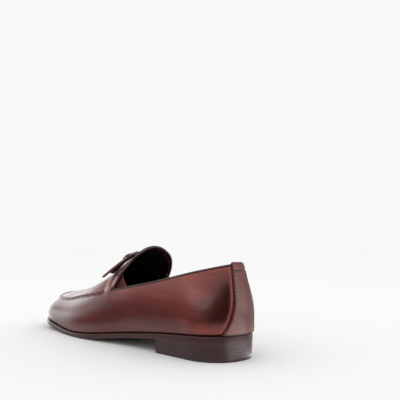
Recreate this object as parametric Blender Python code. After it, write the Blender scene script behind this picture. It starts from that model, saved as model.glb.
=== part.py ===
"""Left slip-on loafer with a small metal bit on the strap across its saddle.

The shoe stands on the floor z = 0, toe toward -Y and outer side toward +X. Sizes and tables
are millimetres in the shoe's own directions: along runs from the back of the heel to the toe,
across is positive toward the outer side, and up is the height above the floor. A point is
(along, across, up). The upper's form is the last: around the feather line, where upper and
sole meet, each station has a curved profile that rises to the ridge of the foot.
"""
import math
from collections import namedtuple

import bmesh
import bpy
import numpy as np

MM = 0.001
OUTER, INNER = 1, -1
UP = np.array([0.0, 0.0, 1.0])

# Overall sizes
LENGTH = 320.0
GAP = 0.3
WALL = 2.0
TOE_TURN = -5.6
HEEL_ROUND, HEEL_POWER = 35.5, 2.17
TOE_ROUND, TOE_POWER = 47.0, 2.15
CREASE_DEGREES = 40.0

# Sole and heel
SOLE_THICKNESS = 4.9
SOLE_CHAMFER = 0.7
SOLE_STEPS = 36
HEEL_BREAST = 78.0
HEEL_TAPER = 1.3
HEEL_STEPS = 13
HEEL_CHAMFER = 0.4
LIFT_LEVELS = (0.0, 4.6, 7.6, 10.6)
INSOLE_THICKNESS = 3.0
INSOLE_INSET = WALL + 0.6
INSOLE_CHAMFER = 0.8
INSOLE_STEPS = 30

# Stations and rows of the upper
THROAT_STATION = 148.0
SADDLE_STATION = 158.0
SADDLE_EDGE = 0.8
QUARTER_STEPS = 20
SADDLE_STEPS = 4
VAMP_STEPS = 23
WALL_ROWS = (0.0, 0.1, 0.22, 0.36, 0.5, 0.64, 0.78, 0.88, 0.94, 1.0)
TOP_ROWS = (0.06, 0.12, 0.26, 0.42, 0.6, 0.8, 1.0)
FAN = (225.0, 300.0)
SEAM_HEIGHT, SEAM_FLANK = 1.5, 0.55
SADDLE_HEIGHT = 1.0

# Tongue, gores and bound edges
TONGUE_WALL = 2.0
TONGUE_START = 0.07
TONGUE_ROWS, TONGUE_STEPS = 13, 5
BINDING_ACROSS, BINDING_UP = 1.25, 1.05
BINDING_SIDES = 6
BINDING_START, TONGUE_BINDING_START = 0.04, 0.13
GORE_WALL = 1.0
GORE_TUCK = 3.4
GORE_LOW, GORE_HIGH = 0.05, 0.32
GORE_BACK, GORE_REACH, GORE_PINCH = 121.5, 0.93, 0.12
GORE_STEPS = 4

# Back strap
STRAP_WALL = 1.0
STRAP_CENTRE = -1.1
STRAP_TOP_HALF, STRAP_WAIST_HALF, STRAP_FOOT_HALF = 7.6, 10.1, 19.6
STRAP_WAIST_LEVEL, STRAP_EASE_LEVEL, STRAP_SPREAD = 0.6, 0.6, 1.7
STRAP_LOW, STRAP_HIGH = 0.012, 0.97
STRAP_ROWS, STRAP_COLUMNS = 11, 8
STRAP_HOOK_STEPS, STRAP_RETURN = 4, 4.0

# Bit strap and bit
BIT_ALONG, BIT_WIDTH, BIT_THICK = 155.5, 13.0, 2.4
BIT_SPAN, BIT_CREST = 41.0, 89.2
BIT_BEND, BIT_FALL, BIT_SLOPE = 26.0, 1.03, 0.42
BIT_SWEEP = 6.0
BIT_TIP_POWER, BIT_TIP_LEAST = 5, 0.12
BIT_ROW_STEPS, BIT_ROW_DOME = (-1.0, -0.8, 0.0, 0.8, 1.0), (0.45, 0.1, 0.0, 0.1, 0.45)
BIT_PLACES = (0.0, 0.11, 0.22, 0.325, 0.337, 0.418, 0.43, 0.52, 0.62, 0.71, 0.8, 0.84, 0.89, 0.94, 0.97, 1.0)
PAD_PLACES = (0.0, 0.325, 0.337, 0.418, 0.43, 0.52, 0.62, 0.8, 0.84, 1.0)
PAD_DEPTHS = (1.0, 1.4, 0.0, 0.0, 1.6, 2.0, 2.6, 3.6, 0.0, 0.0)
RING_PLACE, RING_WIRE, RING_CLEAR, RING_EASE = 15.5, 0.8, 0.3, 0.3
RING_CORNER_STEPS, RING_SIDES = 3, 6
BAR_RADIUS, BAR_WAIST, BAR_BEAD = 1.1, 0.8, 1.3
BAR_FORWARD, BEAD_SHARE = 3.2, 0.22
BAR_STEPS, BAR_SIDES = 12, 8

# Feather line: half-widths before the ends are rounded, height, and the sole's edge past the upper
Outline = namedtuple("Outline", "along lateral medial lift margin")
OUTLINE = (
    Outline(0, 32.3, 32.3, 22.2, 0.5),
    Outline(36, 32.4, 32.3, 20.5, 0.5),
    Outline(78, 33.6, 31.6, 17.4, 0.6),
    Outline(130, 36.7, 30.8, 12.0, 0.8),
    Outline(173, 43.4, 38.2, 7.0, 1.2),
    Outline(212, 45.4, 47.6, 4.4, 1.5),
    Outline(249, 42.0, 49.4, 6.2, 1.5),
    Outline(281, 38.2, 45.4, 9.8, 1.4),
    Outline(320, 31.5, 38.0, 14.8, 1.2),
)

# Ridge of the last, from over the heel to the toe
Ridge = namedtuple("Ridge", "along height")
RIDGE = (
    Ridge(0, 106.0),
    Ridge(50, 106.5),
    Ridge(90, 104.0),
    Ridge(126, 95.6),
    Ridge(157, 82.7),
    Ridge(178, 71.4),
    Ridge(203, 60.2),
    Ridge(222, 53.4),
    Ridge(244, 47.9),
    Ridge(265, 44.4),
    Ridge(285, 41.2),
    Ridge(300, 37.5),
)

# Profile of each feather station: where it meets the ridge, the height of the collar or apron
# line on it, and the handles of its curve at the feather and at the ridge
Profile = namedtuple("Profile", "along top_along top_half belt bulge rise reach drop")
PROFILE = (
    Profile(0, 8, 0, 80.0, 9, 28, 10, 30),
    Profile(36, 40, 16, 72.0, 5.5, 28, 12, 30),
    Profile(78, 84, 18, 63.0, 4.5, 27, 14, 27),
    Profile(112, 122, 11, 56.8, 4.8, 32, 23, 15),
    Profile(148, 160, 0, 51.0, 5.0, 35, 31, 3),
    Profile(164, 186, 0, 47.8, 5.0, 33, 33, 0),
    Profile(182, 204, 0, 45.0, 4.5, 30, 34, 0),
    Profile(212, 224, 0, 40.8, 3.6, 26, 34, 0),
    Profile(249, 247, 0, 36.4, 4.5, 22, 31, 0),
    Profile(281, 266, 0, 36.2, 6.5, 19, 27, 0),
    Profile(302, 277, 0, 37.6, 7.5, 16, 22, 0),
    Profile(320, 284, 0, 38.8, 8.0, 15, 18, 0),
)

# Free edge of the tongue, from the notch at its foot to its top
TongueEdge = namedtuple("TongueEdge", "share along half height")
TONGUE_EDGE = (
    TongueEdge(0.0, 151.0, 36.0, 52.4),
    TongueEdge(0.2, 145.0, 34.2, 63.0),
    TongueEdge(0.4, 138.4, 31.0, 72.8),
    TongueEdge(0.6, 133.2, 26.2, 81.4),
    TongueEdge(0.75, 131.0, 21.0, 87.4),
    TongueEdge(0.87, 130.0, 13.7, 92.3),
    TongueEdge(0.94, 129.6, 7.4, 95.0),
    TongueEdge(1.0, 129.4, 0.0, 96.1),
)

# Colours as linear red, green and blue, with roughness and metallic share
Finish = namedtuple("Finish", "colour roughness metallic")
FINISHES = {
    "burnished_leather": Finish((0.115, 0.036, 0.030), 0.32, 0.0),
    "sole_leather": Finish((0.034, 0.017, 0.016), 0.38, 0.0),
    "heel_leather": Finish((0.032, 0.016, 0.016), 0.36, 0.0),
    "heel_rubber": Finish((0.022, 0.014, 0.014), 0.55, 0.0),
    "sock_leather": Finish((0.010, 0.007, 0.007), 0.70, 0.0),
    "edge_leather": Finish((0.040, 0.018, 0.018), 0.35, 0.0),
    "elastic": Finish((0.042, 0.018, 0.015), 0.80, 0.0),
    "bit_metal": Finish((0.42, 0.41, 0.40), 0.22, 1.0),
}


def clear_scene():
    for item in list(bpy.data.objects):
        bpy.data.objects.remove(item, do_unlink=True)


def unit(vectors):
    return vectors / np.linalg.norm(vectors, axis=-1, keepdims=True)


def spline(places, values):
    """Smooth cubic curve through the given values, held constant past both ends."""
    places = np.asarray(places, float)
    values = np.asarray(values, float)
    steps = np.diff(places)
    slopes = np.diff(values) / steps
    count = len(places)
    matrix = np.eye(count)
    right = np.zeros(count)
    for row in range(1, count - 1):
        matrix[row, row - 1:row + 2] = steps[row - 1], 2 * (steps[row - 1] + steps[row]), steps[row]
        right[row] = 6 * (slopes[row] - slopes[row - 1])
    bends = np.linalg.solve(matrix, right)

    def value(place):
        place = np.clip(place, places[0], places[-1])
        cell = np.clip(np.searchsorted(places, place) - 1, 0, count - 2)
        before = place - places[cell]
        after = places[cell + 1] - place
        step = steps[cell]
        curve = (bends[cell] * after ** 3 + bends[cell + 1] * before ** 3) / (6 * step)
        curve += (values[cell] / step - bends[cell] * step / 6) * after
        curve += (values[cell + 1] / step - bends[cell + 1] * step / 6) * before
        return curve

    return value


def columns(table):
    """Smooth curve of each column over the table's first column."""
    places = [row[0] for row in table]
    names = table[0]._fields[1:]
    return {name: spline(places, [getattr(row, name) for row in table]) for name in names}


OUTLINE_AT = columns(OUTLINE)
RIDGE_AT = columns(RIDGE)["height"]
PROFILE_AT = columns(PROFILE)
TONGUE_AT = columns(TONGUE_EDGE)


def centre(along):
    """Across place of the shoe's centre line, which turns inward toward the toe."""
    return TOE_TURN * along / LENGTH


def along_of(turn):
    return LENGTH * (1 - np.cos(turn)) / 2


def turn_of(along):
    return math.acos(1 - 2 * along / LENGTH)


def end_share(distance, length, power):
    """Share of the full width at a distance from an end that is rounded over a length."""
    missing = np.clip(1 - distance / length, 0, 1)
    return (1 - missing ** power) ** (1 / power)


def outline(turn, side):
    """Along and across places on the sole's edge at a turn from 0, heel, to pi, toe."""
    along = along_of(turn)
    table = OUTLINE_AT["lateral"] if side == OUTER else OUTLINE_AT["medial"]
    share = end_share(along, HEEL_ROUND, HEEL_POWER) * end_share(LENGTH - along, TOE_ROUND, TOE_POWER)
    middle = centre(along)
    return along, middle + (side * table(along) - middle) * share


def outward(turn, side):
    """Level direction that points out of the outline."""
    nudge = 1e-4
    before = outline(np.maximum(turn - nudge, 0), side)
    after = outline(np.minimum(turn + nudge, math.pi), side)
    run = after[0] - before[0]
    drift = after[1] - before[1]
    return unit(np.stack([-side * drift, side * run, np.zeros_like(run)], axis=-1))


def edge_point(turn, side, inset, height):
    """Point on the outline, moved inward by an inset, at a height."""
    along, across = outline(turn, side)
    level = np.stack([along, across, np.zeros_like(along)], axis=-1)
    return level - outward(turn, side) * np.asarray(inset)[..., None] + UP * np.asarray(height)[..., None]


def last_point(turn, side, share):
    """Point of the last at a station's turn and a share of its profile, 0 feather to 1 ridge."""
    turn, share = np.broadcast_arrays(np.asarray(turn, float), np.asarray(share, float))
    along = along_of(turn)
    row = {name: curve(along) for name, curve in PROFILE_AT.items()}
    feather = edge_point(turn, side, OUTLINE_AT["margin"](along), OUTLINE_AT["lift"](along) + GAP)
    top_along = row["top_along"]
    top_half = np.maximum(row["top_half"], 0) * (along < THROAT_STATION)
    top = np.stack([top_along, centre(top_along) + side * top_half, RIDGE_AT(top_along)], axis=-1)
    level = outward(turn, side)
    away = level.copy()
    away[..., 0] *= np.interp(along, FAN, (0, 1))
    away = unit(away)
    nudge = 0.5
    slope = (RIDGE_AT(top_along + nudge) - RIDGE_AT(top_along - nudge)) / (2 * nudge)
    away[..., 2] = slope * away[..., 0]
    low_handle = feather + level * row["bulge"][..., None] + UP * row["rise"][..., None]
    high_handle = top + away * row["reach"][..., None] - UP * np.maximum(row["drop"], 0)[..., None]
    rest = (1 - share)[..., None]
    share = share[..., None]
    curve = rest ** 3 * feather + 3 * rest ** 2 * share * low_handle
    return curve + 3 * rest * share ** 2 * high_handle + share ** 3 * top


def last_directions(turn, side, share):
    """Unit directions on the last: toward the toe, up the profile, and out of the surface."""
    turn, share = np.broadcast_arrays(np.asarray(turn, float), np.asarray(share, float))
    nudge = 1e-3
    low_turn = np.maximum(turn - nudge, 0)
    high_turn = np.minimum(turn + nudge, math.pi)
    forward = last_point(high_turn, side, share) - last_point(low_turn, side, share)
    low_share = np.maximum(share - nudge, 0)
    high_share = np.minimum(share + nudge, 1)
    upward = last_point(turn, side, high_share) - last_point(turn, side, low_share)
    out = unit(-side * np.cross(forward, upward))
    return unit(forward), unit(upward), out


def belt_share(turn, side):
    """Share of the profile at which it reaches the collar or apron line."""
    target = PROFILE_AT["belt"](along_of(turn))
    low = np.zeros_like(turn)
    high = np.ones_like(turn)
    for _ in range(40):
        middle = (low + high) / 2
        below = last_point(turn, side, middle)[..., 2] < target
        low = np.where(below, middle, low)
        high = np.where(below, high, middle)
    return (low + high) / 2


def shoe_mesh(name, points, faces, finish, smooth=True):
    """Closed object from points in shoe directions, its faces turned outward."""
    points = np.asarray(points, float)
    world = np.stack([points[:, 1], LENGTH / 2 - points[:, 0], points[:, 2]], axis=-1) * MM
    mesh = bpy.data.meshes.new(name)
    mesh.from_pydata(world.tolist(), [], faces)
    shell = bmesh.new()
    shell.from_mesh(mesh)
    bmesh.ops.triangulate(shell, faces=[face for face in shell.faces if len(face.verts) > 3])
    bmesh.ops.recalc_face_normals(shell, faces=shell.faces)
    shell.to_mesh(mesh)
    shell.free()
    if smooth:
        mesh.shade_smooth()
        mesh.set_sharp_from_angle(angle=math.radians(CREASE_DEGREES))
    mesh.materials.append(MATERIALS[finish])
    item = bpy.data.objects.new(name, mesh)
    bpy.context.scene.collection.objects.link(item)
    return item


def make_material(name, finish):
    material = bpy.data.materials.new(name)
    material.use_nodes = True
    shader = material.node_tree.nodes["Principled BSDF"]
    shader.inputs["Base Color"].default_value = (*finish.colour, 1.0)
    shader.inputs["Roughness"].default_value = finish.roughness
    shader.inputs["Metallic"].default_value = finish.metallic
    return material


def bridge(first, second, closed):
    """Quads between two rows of point numbers of equal length."""
    count = len(first)
    last = count if closed else count - 1
    return [(first[i], first[(i + 1) % count], second[(i + 1) % count], second[i]) for i in range(last)]


def stacked(rings):
    """Points of equal rings in one array, with each ring's point numbers."""
    size = len(rings[0])
    numbers = [list(range(start, start + size)) for start in range(0, size * len(rings), size)]
    return np.concatenate(rings), numbers


def constant(value):
    return lambda along: np.full_like(along, value)


def slab(name, turns, levels, finish):
    """Plate with the shoe's outline, from levels of (inset, height) curves, bottom to top."""
    along = along_of(turns)
    rings = []
    for inset, height in levels:
        outer = edge_point(turns, OUTER, inset(along), height(along))
        inner = edge_point(turns, INNER, inset(along), height(along))
        reaches_toe = turns[-1] > math.pi - 1e-6
        back = inner[-2:0:-1] if reaches_toe else inner[:0:-1]
        rings.append(np.concatenate([outer, back]))
    points, numbers = stacked(rings)
    size = len(numbers[0])
    faces = []
    for low, high in zip(numbers, numbers[1:]):
        faces += bridge(low, high, closed=True)
    for ring in (numbers[0], numbers[-1]):
        pairs = [(ring[i], ring[(size - i) % size]) for i in range(len(turns))]
        for (outer, inner), (next_outer, next_inner) in zip(pairs, pairs[1:]):
            corners = list(dict.fromkeys((outer, next_outer, next_inner, inner)))
            faces.append(tuple(corners))
    return shoe_mesh(name, points, faces, finish)


def sole_top(along):
    return OUTLINE_AT["lift"](along)


def sole_bottom(along):
    return np.maximum(OUTLINE_AT["lift"](along) - SOLE_THICKNESS, 0)


def make_outsole():
    turns = np.linspace(0, math.pi, SOLE_STEPS + 1)
    levels = (
        (constant(2 * SOLE_CHAMFER), sole_bottom),
        (constant(SOLE_CHAMFER / 2), lambda along: sole_bottom(along) + SOLE_CHAMFER),
        (constant(0.0), lambda along: sole_bottom(along) + 2 * SOLE_CHAMFER),
        (constant(0.0), lambda along: sole_top(along) - SOLE_CHAMFER),
        (constant(SOLE_CHAMFER), sole_top),
    )
    slab("outsole", turns, levels, "sole_leather")


def make_heel():
    """Top piece on the floor, level lifts above it and a wedge under the sole's slope."""
    turns = np.linspace(0, turn_of(HEEL_BREAST), HEEL_STEPS + 1)
    tallest = float(sole_bottom(0.0))
    names = ("top_piece", "heel_lift_1", "heel_lift_2", "heel_lift_3")
    for number, name in enumerate(names):
        low = LIFT_LEVELS[number] + (GAP if number else 0.0)
        wedge = number == len(names) - 1
        high = tallest if wedge else LIFT_LEVELS[number + 1]
        low_inset = HEEL_TAPER * (1 - low / tallest)
        high_inset = HEEL_TAPER * (1 - high / tallest)

        def under_sole(offset):
            return lambda along: sole_bottom(along) - GAP - offset

        levels = (
            (constant(low_inset + HEEL_CHAMFER), constant(low)),
            (constant(low_inset), constant(low + HEEL_CHAMFER)),
            (constant(high_inset), under_sole(HEEL_CHAMFER) if wedge else constant(high - HEEL_CHAMFER)),
            (constant(high_inset + HEEL_CHAMFER), under_sole(0.0) if wedge else constant(high)),
        )
        slab(name, turns, levels, "heel_leather" if number else "heel_rubber")


def make_insole():
    turns = np.linspace(0, math.pi, INSOLE_STEPS + 1)
    top = GAP + INSOLE_THICKNESS

    def inset(extra):
        return lambda along: OUTLINE_AT["margin"](along) + INSOLE_INSET + extra

    levels = (
        (inset(0.0), lambda along: sole_top(along) + GAP),
        (inset(0.0), lambda along: sole_top(along) + top - INSOLE_CHAMFER),
        (inset(INSOLE_CHAMFER), lambda along: sole_top(along) + top),
    )
    slab("insole", turns, levels, "sock_leather")


def upper_turns():
    """Turns of the upper's stations from the heel to the toe, with the throat and saddle on one."""
    throat = turn_of(THROAT_STATION)
    saddle = turn_of(SADDLE_STATION)
    quarter = np.linspace(0, throat, QUARTER_STEPS + 1)
    band = np.linspace(throat, saddle, SADDLE_STEPS + 1)
    vamp = np.linspace(turn_of(SADDLE_STATION + SADDLE_EDGE), math.pi, VAMP_STEPS + 1)
    return np.concatenate([quarter, band[1:], vamp])


def relief(turns, shares, belt):
    """Height of the raised apron seam and of the saddle over the last."""
    along = along_of(turns)
    past_saddle = along > SADDLE_STATION + SADDLE_EDGE / 2
    on_saddle = (along > THROAT_STATION - 1) & ~past_saddle
    wall = shares / belt
    step = WALL_ROWS[-1] - WALL_ROWS[-2]
    above = (shares - belt) / (1 - belt)
    flank = np.where(wall < 1, (1 - wall) / step, above / TOP_ROWS[0])
    seam = SEAM_HEIGHT * np.interp(flank, (0, 1, 2), (1, SEAM_FLANK, 0))
    fade = np.interp(wall, (WALL_ROWS[-5], 1), (0, 1))
    return np.where(past_saddle, seam, 0) + np.where(on_saddle, SADDLE_HEIGHT * fade, 0)


def upper_side(side, turns):
    """Outer and inner grids of one side: wall rows of every station, top rows past the throat."""
    belt = belt_share(turns, side)
    front = np.arange(QUARTER_STEPS, len(turns))
    grids = []
    wall_shares = belt[:, None] * np.array(WALL_ROWS)
    top_shares = belt[front, None] + (1 - belt[front, None]) * np.array(TOP_ROWS)
    for stations, shares in ((turns, wall_shares), (turns[front], top_shares)):
        grid_turns = np.broadcast_to(stations[:, None], shares.shape)
        station_belt = belt_share(stations, side)[:, None]
        points = last_point(grid_turns, side, shares)
        out = last_directions(grid_turns, side, shares)[2]
        raised = relief(grid_turns, shares, station_belt)[..., None]
        grids.append((points + out * raised, points - out * WALL))
    return grids


def make_upper():
    """Hollow wall: the two sides share the back, toe and ridge points, and rims join out to in."""
    turns = upper_turns()
    stations = len(turns)
    front = range(QUARTER_STEPS, stations)
    points = []
    index = {}

    def add(key, point):
        if key in index:
            points[index[key]] = (points[index[key]] + point) / 2
        else:
            index[key] = len(points)
            points.append(point)

    last_wall = len(WALL_ROWS) - 1
    last_top = last_wall + len(TOP_ROWS)

    def key(layer, side, station, row):
        shared = station in (0, stations - 1) or row == last_top
        return (layer, 0 if shared else side, station, row)

    for side in (OUTER, INNER):
        wall, top = upper_side(side, turns)
        for layer in (0, 1):
            for station in range(stations):
                for row in range(len(WALL_ROWS)):
                    add(key(layer, side, station, row), wall[layer][station, row])
                if station >= QUARTER_STEPS:
                    for row in range(len(TOP_ROWS)):
                        place = top[layer][station - QUARTER_STEPS, row]
                        add(key(layer, side, station, last_wall + 1 + row), place)

    faces = []
    for side in (OUTER, INNER):
        def number(layer, station, row):
            return index[key(layer, side, station, row)]

        def rim(first, second):
            faces.append((number(0, *first), number(0, *second), number(1, *second), number(1, *first)))

        for station in range(stations - 1):
            rows = last_top if station in front else last_wall
            for row in range(rows):
                for layer in (0, 1):
                    faces.append((
                        number(layer, station, row),
                        number(layer, station + 1, row),
                        number(layer, station + 1, row + 1),
                        number(layer, station, row + 1),
                    ))
            rim((station, 0), (station + 1, 0))
            if station < QUARTER_STEPS:
                rim((station, last_wall), (station + 1, last_wall))
        for row in range(last_wall, last_top):
            rim((QUARTER_STEPS, row), (QUARTER_STEPS, row + 1))
    faces = [tuple(dict.fromkeys(face)) for face in faces]
    shoe_mesh("upper", points, [face for face in faces if len(face) > 2], "burnished_leather")


def tongue_outline(share, side):
    """Point on an even tongue's free edge, share 0 at its foot to 1 at its top."""
    along = TONGUE_AT["along"](share)
    across = centre(along) + side * TONGUE_AT["half"](share)
    return np.stack([along, across, TONGUE_AT["height"](share)], axis=-1)


def tongue_edge(share, side):
    """Point on the tongue's free edge, with its foot drawn to the notch of that side."""
    throat = np.array(turn_of(THROAT_STATION))
    notch = last_point(throat, side, belt_share(throat, side))
    shift = notch - tongue_outline(np.array(0.0), side)
    return tongue_outline(share, side) + shift * ((1 - share) ** 2)[..., None]


def tongue_point(share, side, reach):
    """Point on the tongue: share up the throat line, reach 0 at the saddle to 1 at the edge."""
    share, reach = np.broadcast_arrays(np.asarray(share, float), np.asarray(reach, float))
    throat = np.full_like(share, turn_of(THROAT_STATION))
    belt = belt_share(throat, side)
    profile = belt + (1 - belt) * share
    forward, _, out = last_directions(throat, side, profile)
    root = last_point(throat, side, profile) + out * SADDLE_HEIGHT - forward * GAP
    edge = tongue_edge(share, side)
    span = np.linalg.norm(edge - root, axis=-1, keepdims=True)
    low_handle = root - forward * span / 3
    high_handle = edge - (edge - root) / 3
    rest = (1 - reach)[..., None]
    reach = reach[..., None]
    curve = rest ** 3 * root + 3 * rest ** 2 * reach * low_handle
    return curve + 3 * rest * reach ** 2 * high_handle + reach ** 3 * edge


def tongue_out(share, side, reach):
    nudge = 1e-3
    share, reach = np.broadcast_arrays(np.asarray(share, float), np.asarray(reach, float))
    high = np.minimum(share + nudge, 1)
    climb = tongue_point(high, side, reach) - tongue_point(high - 2 * nudge, side, reach)
    far = np.minimum(reach + nudge, 1)
    back = tongue_point(share, side, far) - tongue_point(share, side, far - 2 * nudge)
    return unit(side * np.cross(back, climb))


def both_sides(shares):
    """Shares and sides of rows that run up the outer side and down the inner one."""
    rows = [(share, OUTER) for share in shares]
    return rows + [(share, INNER) for share in shares[-2::-1]]


def sheet(name, front_rows, back_rows, finish):
    """Closed thin piece between two grids of points of the same size."""
    front = np.asarray(front_rows)
    back = np.asarray(back_rows)
    rows, steps = front.shape[:2]
    points = np.concatenate([front.reshape(-1, 3), back.reshape(-1, 3)])
    numbers = np.arange(2 * rows * steps).reshape(2, rows, steps)
    faces = []
    for layer in numbers:
        for low, high in zip(layer, layer[1:]):
            faces += bridge(low.tolist(), high.tolist(), closed=False)
    loop = [(r, 0) for r in range(rows)] + [(rows - 1, s) for s in range(1, steps)]
    loop += [(r, steps - 1) for r in range(rows - 2, -1, -1)] + [(0, s) for s in range(steps - 2, 0, -1)]
    rims = [[int(layer[place]) for place in loop] for layer in numbers]
    faces += bridge(rims[0], rims[1], closed=True)
    return shoe_mesh(name, points, faces, finish)


def make_tongue():
    shares = np.linspace(TONGUE_START, 1, TONGUE_ROWS)
    reaches = np.linspace(0, 1, TONGUE_STEPS + 1)
    front = []
    back = []
    for share, side in both_sides(shares):
        points = tongue_point(share, side, reaches)
        out = tongue_out(share, side, reaches)
        front.append(points)
        back.append(points - out * TONGUE_WALL)
    sheet("tongue", front, back, "burnished_leather")


def tube(name, path, first_axis, second_axis, radii, sides, finish, closed=False):
    """Round piece along a path, each ring an ellipse on the two axes given for its point."""
    angles = np.arange(sides) * 2 * math.pi / sides
    rings = []
    for place, across, along, (wide, tall) in zip(path, first_axis, second_axis, radii):
        offsets = np.outer(np.cos(angles) * wide, across) + np.outer(np.sin(angles) * tall, along)
        rings.append(place + offsets)
    points, numbers = stacked(rings)
    faces = []
    for low, high in zip(numbers, numbers[1:]):
        faces += bridge(low, high, closed=True)
    if closed:
        faces += bridge(numbers[-1], numbers[0], closed=True)
    else:
        faces += [tuple(numbers[0]), tuple(numbers[-1])]
    return shoe_mesh(name, points, faces, finish)


def collar_frame(turns, side):
    """Middle of the wall's top edge, with the directions up the profile and out of it."""
    belt = belt_share(turns, side)
    _, upward, out = last_directions(turns, side, belt)
    return last_point(turns, side, belt) - out * WALL / 2, upward, out


def make_collar_binding():
    throat = turn_of(THROAT_STATION)
    turns = np.linspace(throat * (1 - BINDING_START), 0, QUARTER_STEPS + 1)
    parts = []
    for side, order in ((OUTER, turns), (INNER, turns[-2::-1])):
        parts.append(collar_frame(order, side))
    edge, upward, out = (np.concatenate(arrays) for arrays in zip(*parts))
    path = edge + upward * (GAP + BINDING_UP)
    radii = [(BINDING_ACROSS, BINDING_UP)] * len(path)
    tube("collar_binding", path, out, upward, radii, BINDING_SIDES, "edge_leather")


def make_tongue_binding():
    shares = np.linspace(TONGUE_BINDING_START, 1, TONGUE_ROWS)
    nudge = 0.02
    path = []
    outs = []
    backs = []
    for share, side in both_sides(shares):
        out = tongue_out(share, side, 1.0)
        edge = tongue_point(share, side, 1.0)
        back = unit(edge - tongue_point(share, side, 1.0 - nudge))
        place = edge - out * TONGUE_WALL / 2
        path.append(place + back * (GAP + BINDING_UP))
        outs.append(out)
        backs.append(back)
    radii = [(BINDING_ACROSS, BINDING_UP)] * len(path)
    tube("tongue_binding", path, outs, backs, radii, BINDING_SIDES, "edge_leather")


def make_gore(name, side):
    """Elastic behind the notch, from the tongue's lower edge to the collar."""
    start = turn_of(THROAT_STATION) * (1 - GORE_LOW)
    rows = []
    for climb in np.linspace(0, 1, 3):
        steps = np.linspace(0, 1 - GORE_PINCH * math.sin(climb * math.pi), GORE_STEPS + 1)
        shares = GORE_LOW + (GORE_HIGH - GORE_LOW) * steps
        high = tongue_point(shares, side, GORE_REACH) - tongue_out(shares, side, GORE_REACH) * GORE_TUCK
        edge, upward, out = collar_frame(start + (turn_of(GORE_BACK) - start) * steps, side)
        low = edge - out * (GORE_TUCK - WALL / 2) - upward
        rows.append(low * (1 - climb) + high * climb)
    front = np.array(rows)
    inward = unit(np.cross(front[2] - front[0], front[1, -1] - front[1, 0]))
    inward = inward * np.sign(-side * inward[:, 1:2])
    sheet(name, front, front + inward[None] * GORE_WALL, "elastic")


def strap_half(level):
    """Half-width of the back strap, level 0 at the sole to 1 at the topline."""
    waist = STRAP_WAIST_LEVEL
    spread = (STRAP_FOOT_HALF - STRAP_WAIST_HALF) * np.clip(1 - level / waist, 0, 1) ** STRAP_SPREAD
    taper = (STRAP_TOP_HALF - STRAP_WAIST_HALF) * np.clip((level - waist) / (1 - waist), 0, 1)
    return STRAP_WAIST_HALF + spread + taper


def station_at(across, side, share):
    """Turn near the heel at which the last's profile share lies a distance off the back seam."""
    low = 0.0
    high = turn_of(HEEL_BREAST)
    for _ in range(40):
        middle = (low + high) / 2
        if abs(float(last_point(middle, side, share)[1])) < across:
            low = middle
        else:
            high = middle
    return (low + high) / 2


def make_back_strap():
    """Stay over the back seam, lying on the wall and folded over the bound topline."""
    offsets = np.linspace(-1, 1, STRAP_COLUMNS + 1)
    levels = np.linspace(STRAP_LOW, STRAP_HIGH, STRAP_ROWS)
    lift = GAP + STRAP_WALL / 2
    hook = BINDING_UP + GAP + STRAP_WALL / 2
    front = []
    back = []
    for offset in offsets:
        middle = []
        facing = []
        for level in levels:
            across = STRAP_CENTRE + offset * float(strap_half(level))
            side = INNER if across < 0 else OUTER
            turn = np.array(0.0)
            for _ in range(3):
                share = level * float(belt_share(turn, side))
                turn = np.array(station_at(abs(across), side, share))
            out = last_directions(turn, side, share)[2]
            ease = np.interp(level, (STRAP_EASE_LEVEL, STRAP_HIGH), (0.0, BINDING_ACROSS - WALL / 2))
            middle.append(last_point(turn, side, share) + out * (lift + ease))
            facing.append(out)
        edge, upward, out = collar_frame(turn, side)
        core = edge + upward * (GAP + BINDING_UP)
        reach = BINDING_ACROSS + GAP + STRAP_WALL / 2
        for angle in np.linspace(0, math.pi, STRAP_HOOK_STEPS + 1):
            middle.append(core + out * math.cos(angle) * reach + upward * math.sin(angle) * hook)
            facing.append(unit(out * math.cos(angle) + upward * math.sin(angle)))
        middle.append(core - out * reach - upward * STRAP_RETURN)
        facing.append(-out)
        middle = np.array(middle)
        facing = np.array(facing)
        front.append(middle + facing * STRAP_WALL / 2)
        back.append(middle - facing * STRAP_WALL / 2)
    sheet("back_strap", front, back, "burnished_leather")


def bit_frame(place):
    """Middle of the strap's upper face at a place from -1 to 1 across, its directions and half-width."""
    across = place * BIT_SPAN
    drop = BIT_FALL * (np.hypot(across, BIT_BEND) - BIT_BEND)
    along = BIT_ALONG + BIT_SWEEP * place ** 2
    middle = np.array([along, centre(BIT_ALONG) + across, BIT_CREST - drop])
    lean = BIT_FALL * across / np.hypot(across, BIT_BEND)
    sideways = unit(np.array([0.0, 1.0, -lean]))
    forward = unit(np.array([1.0, 0.0, -BIT_SLOPE]))
    forward = unit(forward - sideways * float(forward @ sideways))
    half = BIT_WIDTH / 2 * math.sqrt(max(1 - abs(place) ** BIT_TIP_POWER, BIT_TIP_LEAST))
    return middle, forward, np.cross(forward, sideways), half


def make_bit_strap():
    """Strap with free ends on a base that fills the room over the saddle, cut away for the rings."""
    dome = np.array(BIT_ROW_DOME)[:, None]
    half_run = np.array(BIT_PLACES)
    front = []
    back = []
    for place in np.concatenate([-half_run[:0:-1], half_run]):
        middle, forward, out, half = bit_frame(place)
        row = np.array([middle + forward * half * step for step in BIT_ROW_STEPS])
        front.append(row - out * dome)
        pad = np.interp(abs(place), PAD_PLACES, PAD_DEPTHS)
        back.append(row - out * (BIT_THICK + pad - dome))
    sheet("bit_strap", front, back, "burnished_leather")


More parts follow.
